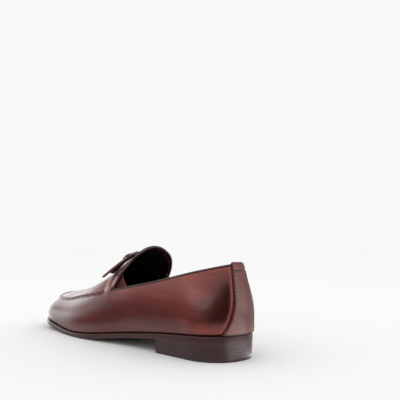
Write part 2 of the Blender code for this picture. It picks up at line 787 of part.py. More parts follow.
def make_bit():
    """Two rings that the strap runs through, joined by a bar with a bead over the strap."""
    for name, place in (("bit_ring_lateral", RING_PLACE), ("bit_ring_medial", -RING_PLACE)):
        middle, forward, out, half = bit_frame(place / BIT_SPAN)
        core = middle - out * BIT_THICK / 2
        corner = RING_WIRE + RING_CLEAR + RING_EASE
        wide = half - RING_EASE
        tall = BIT_THICK / 2 - RING_EASE
        path = []
        radial = []
        for quarter, (toward, upward) in enumerate(((1, 1), (-1, 1), (-1, -1), (1, -1))):
            for step in range(RING_CORNER_STEPS + 1):
                angle = (quarter + step / RING_CORNER_STEPS) * math.pi / 2
                direction = forward * math.cos(angle) + out * math.sin(angle)
                path.append(core + forward * toward * wide + out * upward * tall + direction * corner)
                radial.append(direction)
        sideways = np.cross(out, forward)
        radii = [(RING_WIRE, RING_WIRE)] * len(path)
        tube(name, path, radial, [sideways] * len(path), radii, RING_SIDES, "bit_metal", closed=True)

    start = RING_PLACE - RING_WIRE - GAP
    path = []
    firsts = []
    seconds = []
    radii = []
    for step in range(BAR_STEPS + 1):
        ratio = 2 * step / BAR_STEPS - 1
        middle, forward, out, _ = bit_frame(ratio * start / BIT_SPAN)
        bead = math.exp(-(ratio / BEAD_SHARE) ** 2)
        radius = BAR_WAIST + (BAR_RADIUS - BAR_WAIST) * ratio ** 2 + (BAR_BEAD - BAR_WAIST) * bead
        path.append(middle + forward * BAR_FORWARD + out * (GAP + radius))
        firsts.append(forward)
        seconds.append(out)
        radii.append((radius, radius))
    tube("bit_bar", path, firsts, seconds, radii, BAR_SIDES, "bit_metal")


def centre_on_floor():
    """Put the origin on the floor under the middle of the shoe's box."""
    corners = np.array([tuple(vertex.co) for item in bpy.data.objects for vertex in item.data.vertices])
    middle = (corners.min(axis=0) + corners.max(axis=0)) / 2
    for item in bpy.data.objects:
        for vertex in item.data.vertices:
            vertex.co.x -= middle[0]
            vertex.co.y -= middle[1]


clear_scene()
MATERIALS = {name: make_material(name, finish) for name, finish in FINISHES.items()}
make_outsole()
make_heel()
make_insole()
make_upper()
make_tongue()
make_collar_binding()
make_tongue_binding()
make_gore("gore_lateral", OUTER)
make_gore("gore_medial", INNER)
make_back_strap()
make_bit_strap()
make_bit()
centre_on_floor()
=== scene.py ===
"""Looks of the left loafer: burnished leather, piping, stitches, stacked heel, sole and bit.

Sizes and tables are millimetres in the shoe's own directions, the same as in the part: along runs
from the back of the heel to the toe, across is positive toward the outer side, and up is the height
above the floor. A point is (along, across, up). The last is the part's own, at a finer spacing.
"""
import math
from collections import namedtuple

import bmesh
import bpy
import numpy as np
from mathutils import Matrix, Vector


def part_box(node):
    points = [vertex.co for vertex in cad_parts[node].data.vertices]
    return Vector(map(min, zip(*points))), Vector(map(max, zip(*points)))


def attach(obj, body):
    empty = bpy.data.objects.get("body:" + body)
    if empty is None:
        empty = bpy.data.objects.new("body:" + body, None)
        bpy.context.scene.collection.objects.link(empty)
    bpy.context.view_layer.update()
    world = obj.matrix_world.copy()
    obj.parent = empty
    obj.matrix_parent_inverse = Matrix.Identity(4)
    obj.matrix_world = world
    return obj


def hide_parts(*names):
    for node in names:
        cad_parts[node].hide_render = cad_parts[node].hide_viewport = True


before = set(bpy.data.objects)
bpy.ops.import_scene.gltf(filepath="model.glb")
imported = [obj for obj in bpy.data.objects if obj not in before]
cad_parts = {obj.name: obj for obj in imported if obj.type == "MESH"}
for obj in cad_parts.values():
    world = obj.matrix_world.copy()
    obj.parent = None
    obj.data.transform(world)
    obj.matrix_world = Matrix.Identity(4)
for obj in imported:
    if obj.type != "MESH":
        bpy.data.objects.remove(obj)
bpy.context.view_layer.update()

MM = 0.001
OUTER, INNER = 1, -1
UP = np.array([0.0, 0.0, 1.0])
TINY = 1e-12

# The last and the sole, as in the part
LENGTH = 320.0
GAP = 0.3
WALL = 2.0
TOE_TURN = -5.6
HEEL_ROUND, HEEL_POWER = 35.5, 2.17
TOE_ROUND, TOE_POWER = 47.0, 2.15
SOLE_THICKNESS = 4.9
SOLE_STEPS = 36
HEEL_BREAST, HEEL_TAPER = 78.0, 1.3
LIFT_LEVELS = (0.0, 4.6, 7.6, 10.6)
INSOLE_THICKNESS = 3.0
INSOLE_INSET = WALL + 0.6
THROAT_STATION, SADDLE_STATION, SADDLE_EDGE = 148.0, 158.0, 0.8
FAN = (225.0, 300.0)
SADDLE_HEIGHT = 1.0
SADDLE_FADE = 0.64
SADDLE_SLOPE = 9.0
TONGUE_WALL = 2.0
BINDING_ACROSS, BINDING_UP = 1.25, 1.05
GORE_WALL, GORE_TUCK = 1.0, 3.4
GORE_LOW, GORE_HIGH = 0.05, 0.32
GORE_BACK, GORE_REACH, GORE_PINCH = 121.5, 0.93, 0.12
STRAP_WALL, STRAP_CENTRE = 1.0, -1.1
STRAP_TOP_HALF, STRAP_WAIST_HALF, STRAP_FOOT_HALF = 7.6, 10.1, 19.6
STRAP_WAIST_LEVEL, STRAP_EASE_LEVEL, STRAP_SPREAD = 0.6, 0.6, 1.7
STRAP_LOW, STRAP_HIGH, STRAP_RETURN = 0.004, 0.97, 4.0
BIT_ALONG, BIT_WIDTH, BIT_THICK = 155.5, 13.0, 2.4
BIT_SPAN, BIT_CREST = 41.0, 89.2
BIT_BEND, BIT_FALL, BIT_SLOPE, BIT_SWEEP = 26.0, 1.03, 0.42, 6.0
BIT_TIP_POWER, BIT_TIP_LEAST = 5, 0.12
# Black base under the saddle strap, black as the strap's painted shadow: its depth by place across
SHADOW_PAD_PLACES = (0.0, 0.325, 0.337, 0.418, 0.43, 0.52, 0.62, 0.8, 0.84, 1.0)
SHADOW_PAD_DEPTHS = (1.0, 1.4, 0.0, 0.0, 1.6, 2.0, 2.6, 3.6, 0.0, 0.0)
RING_PLACE, RING_WIRE, RING_CLEAR, RING_EASE = 15.5, 0.8, 0.3, 0.3
BAR_RADIUS, BAR_WAIST, BAR_BEAD = 1.1, 0.8, 1.3
BAR_FORWARD, BEAD_SHARE = 3.2, 0.22

# Finer spacing of the visible pieces
QUARTER_STEPS, SADDLE_STEPS, VAMP_STEPS = 76, 22, 226
WALL_ROWS, TOP_ROWS, LINING_ROWS = 34, 28, 9
ROW_CROWDING = 1.45
TONGUE_STEPS = 26
PROFILE_SAMPLES = 160
BELT_HALVINGS = 40

# Apron seam: a puckered lip with a groove under it and soft waves on the wall below
SADDLE_RISE = 9.0
LIP_HEIGHT, LIP_PLACE, LIP_HALF = 1.6, 0.5, 1.15
GROOVE_DEPTH, GROOVE_PLACE, GROOVE_HALF = 0.8, -1.6, 0.75
GROOVE_LEAST = 0.55
PUCKER_PITCH, PUCKER_SHARE = 4.4, 0.2
WAVE_HEIGHT, WAVE_PITCH, WAVE_REACH, WAVE_START = 0.05, 13.2, 9.0, (0.5, 3)
FEATHER_ROLL, FEATHER_REACH = 1.3, 2.2

# Feather line: half-widths before the ends are rounded, height, and the sole's edge past the upper
Outline = namedtuple("Outline", "along lateral medial lift margin")
OUTLINE = (
    Outline(0, 32.3, 32.3, 22.2, 0.5),
    Outline(36, 32.4, 32.3, 20.5, 0.5),
    Outline(78, 33.6, 31.6, 17.4, 0.6),
    Outline(130, 36.7, 30.8, 12.0, 0.8),
    Outline(173, 43.4, 38.2, 7.0, 1.2),
    Outline(212, 45.4, 47.6, 4.4, 1.5),
    Outline(249, 42.0, 49.4, 6.2, 1.5),
    Outline(281, 38.2, 45.4, 9.8, 1.4),
    Outline(320, 31.5, 38.0, 14.8, 1.2),
)

# Ridge of the last, from over the heel to the toe
Ridge = namedtuple("Ridge", "along height")
RIDGE = (
    Ridge(0, 106.0),
    Ridge(50, 106.5),
    Ridge(90, 104.0),
    Ridge(126, 95.6),
    Ridge(157, 82.7),
    Ridge(178, 71.4),
    Ridge(203, 60.2),
    Ridge(222, 53.4),
    Ridge(244, 47.9),
    Ridge(265, 44.4),
    Ridge(285, 41.2),
    Ridge(300, 37.5),
)

# Profile of each feather station: its place on the ridge, collar or apron height, handles of its curve
Profile = namedtuple("Profile", "along top_along top_half belt bulge rise reach drop")
PROFILE = (
    Profile(0, 8, 0, 80.0, 9, 28, 10, 30),
    Profile(36, 40, 16, 72.0, 5.5, 28, 12, 30),
    Profile(78, 84, 18, 63.0, 4.5, 27, 14, 27),
    Profile(112, 122, 11, 56.8, 4.8, 32, 23, 15),
    Profile(148, 160, 0, 51.0, 5.0, 35, 31, 3),
    Profile(164, 186, 0, 47.8, 5.0, 33, 33, 0),
    Profile(182, 204, 0, 45.0, 4.5, 30, 34, 0),
    Profile(212, 224, 0, 40.8, 3.6, 26, 34, 0),
    Profile(249, 247, 0, 36.4, 4.5, 22, 31, 0),
    Profile(281, 266, 0, 36.2, 6.5, 19, 27, 0),
    Profile(302, 277, 0, 37.6, 7.5, 16, 22, 0),
    Profile(320, 284, 0, 38.8, 8.0, 15, 18, 0),
)

# Free edge of the tongue, from the notch at its foot to its top
TongueEdge = namedtuple("TongueEdge", "share along half height")
TONGUE_EDGE = (
    TongueEdge(0.0, 151.0, 36.0, 52.4),
    TongueEdge(0.2, 145.0, 34.2, 63.0),
    TongueEdge(0.4, 138.4, 31.0, 72.8),
    TongueEdge(0.6, 133.2, 26.2, 81.4),
    TongueEdge(0.75, 131.0, 21.0, 87.4),
    TongueEdge(0.87, 130.0, 13.7, 92.3),
    TongueEdge(0.94, 129.6, 7.4, 95.0),
    TongueEdge(1.0, 129.4, 0.0, 96.1),
)


def unit(vectors):
    return vectors / np.maximum(np.linalg.norm(vectors, axis=-1, keepdims=True), TINY)


def smooth(value, low, high):
    """Soft step from 0 at low to 1 at high."""
    share = np.clip((np.asarray(value, float) - low) / (high - low), 0, 1)
    return share * share * (3 - 2 * share)


def hump(value, middle, half):
    return np.exp(-((np.asarray(value, float) - middle) / half) ** 2)


def spline(places, values):
    """Smooth cubic curve through the given values, held constant past both ends."""
    places = np.asarray(places, float)
    values = np.asarray(values, float)
    steps = np.diff(places)
    slopes = np.diff(values) / steps
    count = len(places)
    matrix = np.eye(count)
    right = np.zeros(count)
    for row in range(1, count - 1):
        matrix[row, row - 1:row + 2] = steps[row - 1], 2 * (steps[row - 1] + steps[row]), steps[row]
        right[row] = 6 * (slopes[row] - slopes[row - 1])
    bends = np.linalg.solve(matrix, right)

    def value(place):
        place = np.clip(place, places[0], places[-1])
        cell = np.clip(np.searchsorted(places, place) - 1, 0, count - 2)
        before = place - places[cell]
        after = places[cell + 1] - place
        step = steps[cell]
        curve = (bends[cell] * after ** 3 + bends[cell + 1] * before ** 3) / (6 * step)
        curve += (values[cell] / step - bends[cell] * step / 6) * after
        curve += (values[cell + 1] / step - bends[cell + 1] * step / 6) * before
        return curve

    return value


def columns(table):
    """Smooth curve of each column over the table's first column."""
    places = [row[0] for row in table]
    names = table[0]._fields[1:]
    return {name: spline(places, [getattr(row, name) for row in table]) for name in names}


OUTLINE_AT = columns(OUTLINE)
RIDGE_AT = columns(RIDGE)["height"]
PROFILE_AT = columns(PROFILE)
TONGUE_AT = columns(TONGUE_EDGE)


def centre(along):
    """Across place of the shoe's centre line, which turns inward toward the toe."""
    return TOE_TURN * along / LENGTH


def along_of(turn):
    return LENGTH * (1 - np.cos(turn)) / 2


def turn_of(along):
    return math.acos(1 - 2 * along / LENGTH)


def end_share(distance, length, power):
    """Share of the full width at a distance from an end that is rounded over a length."""
    missing = np.clip(1 - distance / length, 0, 1)
    return (1 - missing ** power) ** (1 / power)


def outline(turn, side):
    """Along and across places on the sole's edge at a turn from 0, heel, to pi, toe."""
    along = along_of(turn)
    table = OUTLINE_AT["lateral"] if side == OUTER else OUTLINE_AT["medial"]
    share = end_share(along, HEEL_ROUND, HEEL_POWER) * end_share(LENGTH - along, TOE_ROUND, TOE_POWER)
    middle = centre(along)
    return along, middle + (side * table(along) - middle) * share


def outward(turn, side):
    """Level direction that points out of the outline."""
    nudge = 1e-4
    before = outline(np.maximum(turn - nudge, 0), side)
    after = outline(np.minimum(turn + nudge, math.pi), side)
    run = after[0] - before[0]
    drift = after[1] - before[1]
    return unit(np.stack([-side * drift, side * run, np.zeros_like(run)], axis=-1))


def edge_point(turn, side, inset, height):
    """Point on the outline, moved inward by an inset, at a height."""
    along, across = outline(turn, side)
    level = np.stack([along, across, np.zeros_like(along)], axis=-1)
    return level - outward(turn, side) * np.asarray(inset)[..., None] + UP * np.asarray(height)[..., None]


def last_point(turn, side, share):
    """Point of the last at a station's turn and a share of its profile, 0 feather to 1 ridge."""
    turn, share = np.broadcast_arrays(np.asarray(turn, float), np.asarray(share, float))
    along = along_of(turn)
    row = {name: curve(along) for name, curve in PROFILE_AT.items()}
    feather = edge_point(turn, side, OUTLINE_AT["margin"](along), OUTLINE_AT["lift"](along) + GAP)
    top_along = row["top_along"]
    top_half = np.maximum(row["top_half"], 0) * (along < THROAT_STATION)
    top = np.stack([top_along, centre(top_along) + side * top_half, RIDGE_AT(top_along)], axis=-1)
    level = outward(turn, side)
    away = level.copy()
    away[..., 0] *= np.interp(along, FAN, (0, 1))
    away = unit(away)
    nudge = 0.5
    slope = (RIDGE_AT(top_along + nudge) - RIDGE_AT(top_along - nudge)) / (2 * nudge)
    away[..., 2] = slope * away[..., 0]
    low_handle = feather + level * row["bulge"][..., None] + UP * row["rise"][..., None]
    high_handle = top + away * row["reach"][..., None] - UP * np.maximum(row["drop"], 0)[..., None]
    rest = (1 - share)[..., None]
    share = share[..., None]
    curve = rest ** 3 * feather + 3 * rest ** 2 * share * low_handle
    return curve + 3 * rest * share ** 2 * high_handle + share ** 3 * top


def last_directions(turn, side, share):
    """Unit directions on the last: toward the toe, up the profile, and out of the surface."""
    turn, share = np.broadcast_arrays(np.asarray(turn, float), np.asarray(share, float))
    nudge = 1e-3
    low_turn = np.maximum(turn - nudge, 0)
    high_turn = np.minimum(turn + nudge, math.pi)
    forward = last_point(high_turn, side, share) - last_point(low_turn, side, share)
    low_share = np.maximum(share - nudge, 0)
    high_share = np.minimum(share + nudge, 1)
    upward = last_point(turn, side, high_share) - last_point(turn, side, low_share)
    out = unit(-side * np.cross(forward, upward))
    return unit(forward), unit(upward), out


def belt_share(turn, side):
    """Share of the profile at which it reaches the collar or apron line."""
    turn = np.asarray(turn, float)
    target = PROFILE_AT["belt"](along_of(turn))
    low = np.zeros_like(turn)
    high = np.ones_like(turn)
    for _ in range(BELT_HALVINGS):
        middle = (low + high) / 2
        below = last_point(turn, side, middle)[..., 2] < target
        low = np.where(below, middle, low)
        high = np.where(below, high, middle)
    return (low + high) / 2


def tongue_outline(share, side):
    """Point on an even tongue's free edge, share 0 at its foot to 1 at its top."""
    along = TONGUE_AT["along"](share)
    across = centre(along) + side * TONGUE_AT["half"](share)
    return np.stack([along, across, TONGUE_AT["height"](share)], axis=-1)


def tongue_edge(share, side):
    """Point on the tongue's free edge, with its foot drawn to the notch of that side."""
    throat = np.array(turn_of(THROAT_STATION))
    notch = last_point(throat, side, belt_share(throat, side))
    shift = notch - tongue_outline(np.array(0.0), side)
    return tongue_outline(share, side) + shift * ((1 - share) ** 2)[..., None]


def tongue_point(share, side, reach):
    """Point on the tongue: share up the throat line, reach 0 at the saddle to 1 at the edge."""
    share, reach = np.broadcast_arrays(np.asarray(share, float), np.asarray(reach, float))
    throat = np.full_like(share, turn_of(THROAT_STATION))
    belt = belt_share(throat, side)
    profile = np.clip(belt + (1 - belt) * share, 0, 1)
    forward, _, out = last_directions(throat, side, profile)
    root = last_point(throat, side, profile) + out * SADDLE_HEIGHT
    edge = tongue_edge(share, side)
    span = np.linalg.norm(edge - root, axis=-1, keepdims=True)
    low_handle = root - forward * span / 3
    high_handle = edge - (edge - root) / 3
    rest = (1 - reach)[..., None]
    reach = reach[..., None]
    curve = rest ** 3 * root + 3 * rest ** 2 * reach * low_handle
    return curve + 3 * rest * reach ** 2 * high_handle + reach ** 3 * edge


def tongue_out(share, side, reach):
    nudge = 1e-3
    share, reach = np.broadcast_arrays(np.asarray(share, float), np.asarray(reach, float))
    high = np.clip(share + nudge, 2 * nudge, 1)
    climb = tongue_point(high, side, reach) - tongue_point(high - 2 * nudge, side, reach)
    far = np.clip(reach + nudge, 2 * nudge, 1)
    back = tongue_point(share, side, far) - tongue_point(share, side, far - 2 * nudge)
    return unit(side * np.cross(back, climb))


def collar_frame(turns, side):
    """Middle of the wall's top edge, with the directions up the profile and out of it."""
    belt = belt_share(turns, side)
    _, upward, out = last_directions(turns, side, belt)
    return last_point(turns, side, belt) - out * WALL / 2, upward, out


def strap_half(level):
    """Half-width of the back strap, level 0 at the sole to 1 at the topline."""
    waist = STRAP_WAIST_LEVEL
    spread = (STRAP_FOOT_HALF - STRAP_WAIST_HALF) * np.clip(1 - level / waist, 0, 1) ** STRAP_SPREAD
    taper = (STRAP_TOP_HALF - STRAP_WAIST_HALF) * np.clip((level - waist) / (1 - waist), 0, 1)
    return STRAP_WAIST_HALF + spread + taper


def bit_frame(place):
    """Middle of the strap's upper face at a place from -1 to 1 across, its directions and half-width."""
    across = place * BIT_SPAN
    drop = BIT_FALL * (np.hypot(across, BIT_BEND) - BIT_BEND)
    along = BIT_ALONG + BIT_SWEEP * place ** 2
    middle = np.array([along, centre(BIT_ALONG) + across, BIT_CREST - drop])
    lean = BIT_FALL * across / np.hypot(across, BIT_BEND)
    sideways = unit(np.array([0.0, 1.0, -lean]))
    forward = unit(np.array([1.0, 0.0, -BIT_SLOPE]))
    forward = unit(forward - sideways * float(forward @ sideways))
    half = BIT_WIDTH / 2 * math.sqrt(max(1 - abs(place) ** BIT_TIP_POWER, BIT_TIP_LEAST))
    return middle, forward, np.cross(forward, sideways), half


# Where the part's packing put the shoe: its origin is under the middle of the whole box
sole_turns = np.linspace(0, math.pi, SOLE_STEPS + 1)
sole_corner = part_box("outsole")[1]
SHIFT_X = sole_corner.x / MM - outline(sole_turns, OUTER)[1].max()
SHIFT_Y = sole_corner.y / MM - LENGTH / 2


def to_world(points):
    points = np.asarray(points, float)
    across = points[..., 1] + SHIFT_X
    back = LENGTH / 2 - points[..., 0] + SHIFT_Y
    return np.stack([across, back, points[..., 2]], axis=-1) * MM


def world_direction(vector):
    return Vector((vector[1], -vector[0], vector[2]))


# Materials

NOISE_RANGE = (0.3, 0.7)
CALF_DEEP, CALF_WARM = (0.150, 0.0185, 0.0135), (0.200, 0.0270, 0.0190)
CALF_LIGHT, CALF_SHADE = (0.270, 0.0450, 0.0280), (0.080, 0.0100, 0.0080)
CALF_BURNISH_AND_SHADE, CALF_RUST = (0.0150, 0.0022, 0.0018), (0.27, 0.060, 0.030)
STREAK_STRETCH = (150.0, 9.0, 330.0)
STREAK_LIGHT, STREAK_DARK = (0.45, 0.75, 0.0, 0.45), (0.5, 0.25, 0.0, 0.35)
BURNISH_AND_SHADE_SHINE = (0.55, 0.9, 0.5, 0.15)
SOLE_RUST = (0.10, 0.024, 0.013)
RIB_DARK, RIB_LIGHT, HEM_RUST = (0.052, 0.0140, 0.0125), (0.150, 0.0420, 0.0350), (0.16, 0.056, 0.034)
THREAD_DARK, THREAD_LIGHT = (0.004, 0.003, 0.003), (0.014, 0.009, 0.008)
METAL_DARK, METAL_LIGHT = (0.085, 0.080, 0.076), (0.16, 0.150, 0.142)


def add_node(tree, kind, inputs=None, **settings):
    node = tree.nodes.new(kind)
    for name, value in settings.items():
        setattr(node, name, value)
    for name, value in (inputs or {}).items():
        socket = node.inputs[name]
        if isinstance(value, bpy.types.NodeSocket):
            tree.links.new(value, socket)
        else:
            socket.default_value = value
    return node


def new_material(name, roughness, coat=0.0, coat_roughness=0.1, metallic=0.0):
    material = bpy.data.materials.new(name)
    material.use_nodes = True
    tree = material.node_tree
    shader = tree.nodes["Principled BSDF"]
    shader.inputs["Roughness"].default_value = roughness
    shader.inputs["Coat Weight"].default_value = coat
    shader.inputs["Coat Roughness"].default_value = coat_roughness
    shader.inputs["Metallic"].default_value = metallic
    return material, tree, shader


def noise(tree, scale, detail=3.0, stretch=(1.0, 1.0, 1.0), roughness=0.55):
    """Noise in the shoe's place, in features per metre, drawn out where stretch is below 1."""
    coords = add_node(tree, "ShaderNodeTexCoord")
    mapping = add_node(tree, "ShaderNodeMapping", {"Vector": coords.outputs["Object"], "Scale": stretch})
    inputs = {"Vector": mapping.outputs[0], "Scale": scale, "Detail": detail, "Roughness": roughness}
    return add_node(tree, "ShaderNodeTexNoise", inputs).outputs["Fac"]


def remap(tree, value, low, high, to_low, to_high):
    inputs = {"Value": value, "From Min": low, "From Max": high, "To Min": to_low, "To Max": to_high}
    return add_node(tree, "ShaderNodeMapRange", inputs).outputs["Result"]


def spread(tree, value, low=0.0, high=1.0):
    """The middle range of a noise, drawn out from low to high."""
    return remap(tree, value, *NOISE_RANGE, low, high)


def blend(tree, share, first, second):
    node = add_node(tree, "ShaderNodeMix", data_type="RGBA")
    for socket, value in zip((node.inputs[0], node.inputs[6], node.inputs[7]), (share, first, second)):
        if isinstance(value, bpy.types.NodeSocket):
            tree.links.new(value, socket)
        else:
            socket.default_value = value if isinstance(value, float) else (*value, 1.0)
    return node.outputs[2]


def field(tree, name):
    return add_node(tree, "ShaderNodeAttribute", attribute_name=name).outputs["Fac"]


def bump(tree, shader, height, strength, distance, under=None):
    inputs = {"Height": height, "Strength": strength, "Distance": distance}
    if under is not None:
        inputs["Normal"] = under
    node = add_node(tree, "ShaderNodeBump", inputs)
    tree.links.new(node.outputs["Normal"], shader.inputs["Normal"])
    return node.outputs["Normal"]


def burnished_leather():
    """Polished calf: rubbed streaks along the shoe; by field, burnished darks with painted shade and rust
    at folded edges.
    """
    material, tree, shader = new_material("burnished_calf", roughness=0.28, coat=0.12, coat_roughness=0.12)
    mottle = noise(tree, scale=34.0, detail=4.0)
    streak = noise(tree, scale=1.0, detail=2.5, stretch=STREAK_STRETCH, roughness=0.5)
    body = blend(tree, spread(tree, mottle), CALF_DEEP, CALF_WARM)
    body = blend(tree, remap(tree, streak, *STREAK_LIGHT), body, CALF_LIGHT)
    body = blend(tree, remap(tree, streak, *STREAK_DARK), body, CALF_SHADE)
    # Burnish plus painted shade: seam, crease and strap-rim lines and the shadow under the saddle strap;
    # darker and less shiny
    burnish = field(tree, "burnish")
    body = blend(tree, burnish, body, CALF_BURNISH_AND_SHADE)
    body = blend(tree, field(tree, "rust"), body, CALF_RUST)
    tree.links.new(body, shader.inputs["Base Color"])
    tree.links.new(remap(tree, burnish, *BURNISH_AND_SHADE_SHINE), shader.inputs["Specular IOR Level"])
    rough = spread(tree, noise(tree, scale=120.0, detail=4.0), low=0.285, high=0.37)
    tree.links.new(rough, shader.inputs["Roughness"])
    grain = noise(tree, scale=1500.0, detail=2.0)
    under = bump(tree, shader, grain, strength=0.06, distance=0.00012)
    bump(tree, shader, streak, strength=0.05, distance=0.0003, under=under)
    return material


def plain_leather(name, dark, light, roughness, coat=0.0, specular=0.5):
    material, tree, shader = new_material(name, roughness, coat=coat, coat_roughness=0.14)
    shader.inputs["Specular IOR Level"].default_value = specular
    tone = noise(tree, scale=60.0, detail=5.0)
    tree.links.new(blend(tree, spread(tree, tone), dark, light), shader.inputs["Base Color"])
    worn = noise(tree, scale=150.0, detail=3.0)
    tree.links.new(spread(tree, worn, roughness - 0.05, roughness + 0.07), shader.inputs["Roughness"])
    bump(tree, shader, noise(tree, scale=1500.0, detail=3.0), strength=0.1, distance=0.00015)
    return material


def stacked_leather(name, dark, light, lines, specular, roughness=0.36):
    """Waxed edge of layered leather: fine level lines of tone and relief."""
    material, tree, shader = new_material(name, roughness)
    shader.inputs["Specular IOR Level"].default_value = specular
    layers = noise(tree, scale=1.0, detail=4.0, stretch=(14.0, 14.0, lines), roughness=0.6)
    tone = blend(tree, spread(tree, layers), dark, light)
    tone = blend(tree, field(tree, "rust"), tone, SOLE_RUST)
    tree.links.new(tone, shader.inputs["Base Color"])
    tree.links.new(spread(tree, layers, roughness - 0.06, roughness + 0.08), shader.inputs["Roughness"])
    under = bump(tree, shader, layers, strength=0.22, distance=0.0003)
    bump(tree, shader, noise(tree, scale=1300.0, detail=2.0), strength=0.06, distance=0.0001, under=under)
    return material


def elastic_webbing():
    material, tree, shader = new_material("elastic_webbing", roughness=0.75)
    shader.inputs["Specular IOR Level"].default_value = 0.15
    coords = add_node(tree, "ShaderNodeTexCoord")
    inputs = {"Vector": coords.outputs["Object"], "Scale": 380.0, "Distortion": 0.6, "Detail": 1.0}
    rib = add_node(tree, "ShaderNodeTexWave", inputs, bands_direction="Y").outputs["Fac"]
    tone = blend(tree, rib, RIB_DARK, RIB_LIGHT)
    tone = blend(tree, field(tree, "rust"), tone, HEM_RUST)
    tree.links.new(tone, shader.inputs["Base Color"])
    bump(tree, shader, rib, strength=0.35, distance=0.0003)
    return material


def thread():
    material, tree, shader = new_material("waxed_thread", roughness=0.5)
    tone = noise(tree, scale=2600.0, detail=2.0)
    tree.links.new(blend(tree, tone, THREAD_DARK, THREAD_LIGHT), shader.inputs["Base Color"])
    bump(tree, shader, tone, strength=0.3, distance=0.0001)
    return material


def polished_metal():
    material, tree, shader = new_material("polished_metal", roughness=0.2, metallic=1.0)
    wear = noise(tree, scale=400.0, detail=4.0)
    tree.links.new(blend(tree, wear, METAL_DARK, METAL_LIGHT), shader.inputs["Base Color"])
    tree.links.new(spread(tree, wear, low=0.14, high=0.26), shader.inputs["Roughness"])
    bump(tree, shader, noise(tree, scale=1100.0, detail=3.0), strength=0.05, distance=0.0001)
    return material


CALF = burnished_leather()
LINING = plain_leather(
    "black_lining", (0.0035, 0.0024, 0.0023), (0.0075, 0.0050, 0.0047), roughness=0.62, specular=0.15)
FACING = plain_leather(
    "lining_facing", (0.085, 0.0190, 0.0125), (0.135, 0.034, 0.022), roughness=0.45, coat=0.1)
PIPING = plain_leather(
    "piping_calf", (0.034, 0.0090, 0.0085), (0.058, 0.0160, 0.0150), roughness=0.36, coat=0.4)
SOLE = stacked_leather(
    "sole_edge", (0.030, 0.0098, 0.0102), (0.070, 0.0230, 0.0225), lines=1100.0, specular=0.28)
HEEL = stacked_leather(
    "heel_stack", (0.019, 0.0056, 0.0066), (0.052, 0.0150, 0.0170), lines=1700.0, specular=0.42)
TOP_PIECE = plain_leather(
    "top_piece_rubber", (0.016, 0.0056, 0.0066), (0.038, 0.0130, 0.0150), roughness=0.36)
SOCK = plain_leather(
    "sock_lining", (0.004, 0.0028, 0.0026), (0.010, 0.0062, 0.0056), roughness=0.58, specular=0.2)
ELASTIC = elastic_webbing()
THREAD = thread()
METAL = polished_metal()


# Mesh building

WELD = 0.004


def grid_faces(numbers):
    low = numbers[:-1]
    high = numbers[1:]
    quads = np.stack([low[:, :-1], high[:, :-1], high[:, 1:], low[:, 1:]], axis=-1)
    return quads.reshape(-1, 4)


def loop_faces(first, second):
    """Quads between two closed rows of point numbers."""
    return np.stack([first, np.roll(first, -1), np.roll(second, -1), second], axis=-1)


class Shell:
    """Points, faces and named point fields of one visible piece, gathered part by part."""

    def __init__(self):
        self.points = []
        self.faces = []
        self.kinds = []
        self.fields = {}
        self.count = 0

    def add_points(self, points, **fields):
        points = np.asarray(points, float)
        shape = points.shape[:-1]
        flat = points.reshape(-1, 3)
        numbers = np.arange(self.count, self.count + len(flat)).reshape(shape)
        for name in set(self.fields) | set(fields):
            before = self.fields.get(name, np.zeros(self.count))
            values = np.broadcast_to(fields.get(name, 0.0), shape).reshape(-1)
            self.fields[name] = np.concatenate([before, values])
        self.points.append(flat)
        self.count += len(flat)
        return numbers

    def add_faces(self, faces, kind=0):
        faces = [tuple(int(n) for n in face) for face in faces]
        self.faces += faces
        self.kinds += [kind] * len(faces)

    def add_grid(self, points, kind=0, **fields):
        numbers = self.add_points(points, **fields)
        self.add_faces(grid_faces(numbers), kind)
        return numbers

    def add_tube(self, path, first_axis, second_axis, radii, sides, kind=0, closed=False, **fields):
        """Round run along a path, each ring an ellipse on the two axes given for its point."""
        angles = np.arange(sides) * 2 * math.pi / sides
        wide = np.cos(angles)[None, :, None] * np.asarray(first_axis)[:, None, :]
        tall = np.sin(angles)[None, :, None] * np.asarray(second_axis)[:, None, :]
        radii = np.broadcast_to(np.asarray(radii, float), (len(path), 2))
        rings = np.asarray(path)[:, None, :] + wide * radii[:, :1, None] + tall * radii[:, 1:, None]
        fields = {name: np.asarray(value)[:, None] for name, value in fields.items()}
        numbers = self.add_points(rings, **fields)
        rows = list(zip(numbers, numbers[1:]))
        if closed:
            rows.append((numbers[-1], numbers[0]))
        else:
            self.add_faces([numbers[0], numbers[-1]], kind)
        for low, high in rows:
            self.add_faces(loop_faces(low, high), kind)
        return numbers

    def finish(self, name, materials, slot, nodes=(), crease=50.0):
        mesh = bpy.data.meshes.new(name)
        mesh.from_pydata(to_world(np.concatenate(self.points)).tolist(), [], self.faces)
        mesh.polygons.foreach_set("material_index", self.kinds)
        for field_name, values in self.fields.items():
            attribute = mesh.attributes.new(field_name, "FLOAT", "POINT")
            attribute.data.foreach_set("value", np.clip(values, 0, 1).astype(np.float32))
        shell = bmesh.new()
        shell.from_mesh(mesh)
        bmesh.ops.remove_doubles(shell, verts=shell.verts, dist=WELD * MM)
        bmesh.ops.recalc_face_normals(shell, faces=shell.faces)
        shell.to_mesh(mesh)
        shell.free()
        mesh.shade_smooth()
        mesh.set_sharp_from_angle(angle=math.radians(crease))
        for material in materials:
            mesh.materials.append(material)
        item = bpy.data.objects.new(name, mesh)
        bpy.context.scene.collection.objects.link(item)
        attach(item, "root")
        if nodes:
            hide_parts(*nodes)


# Upper with its saddle and tongue in one skin

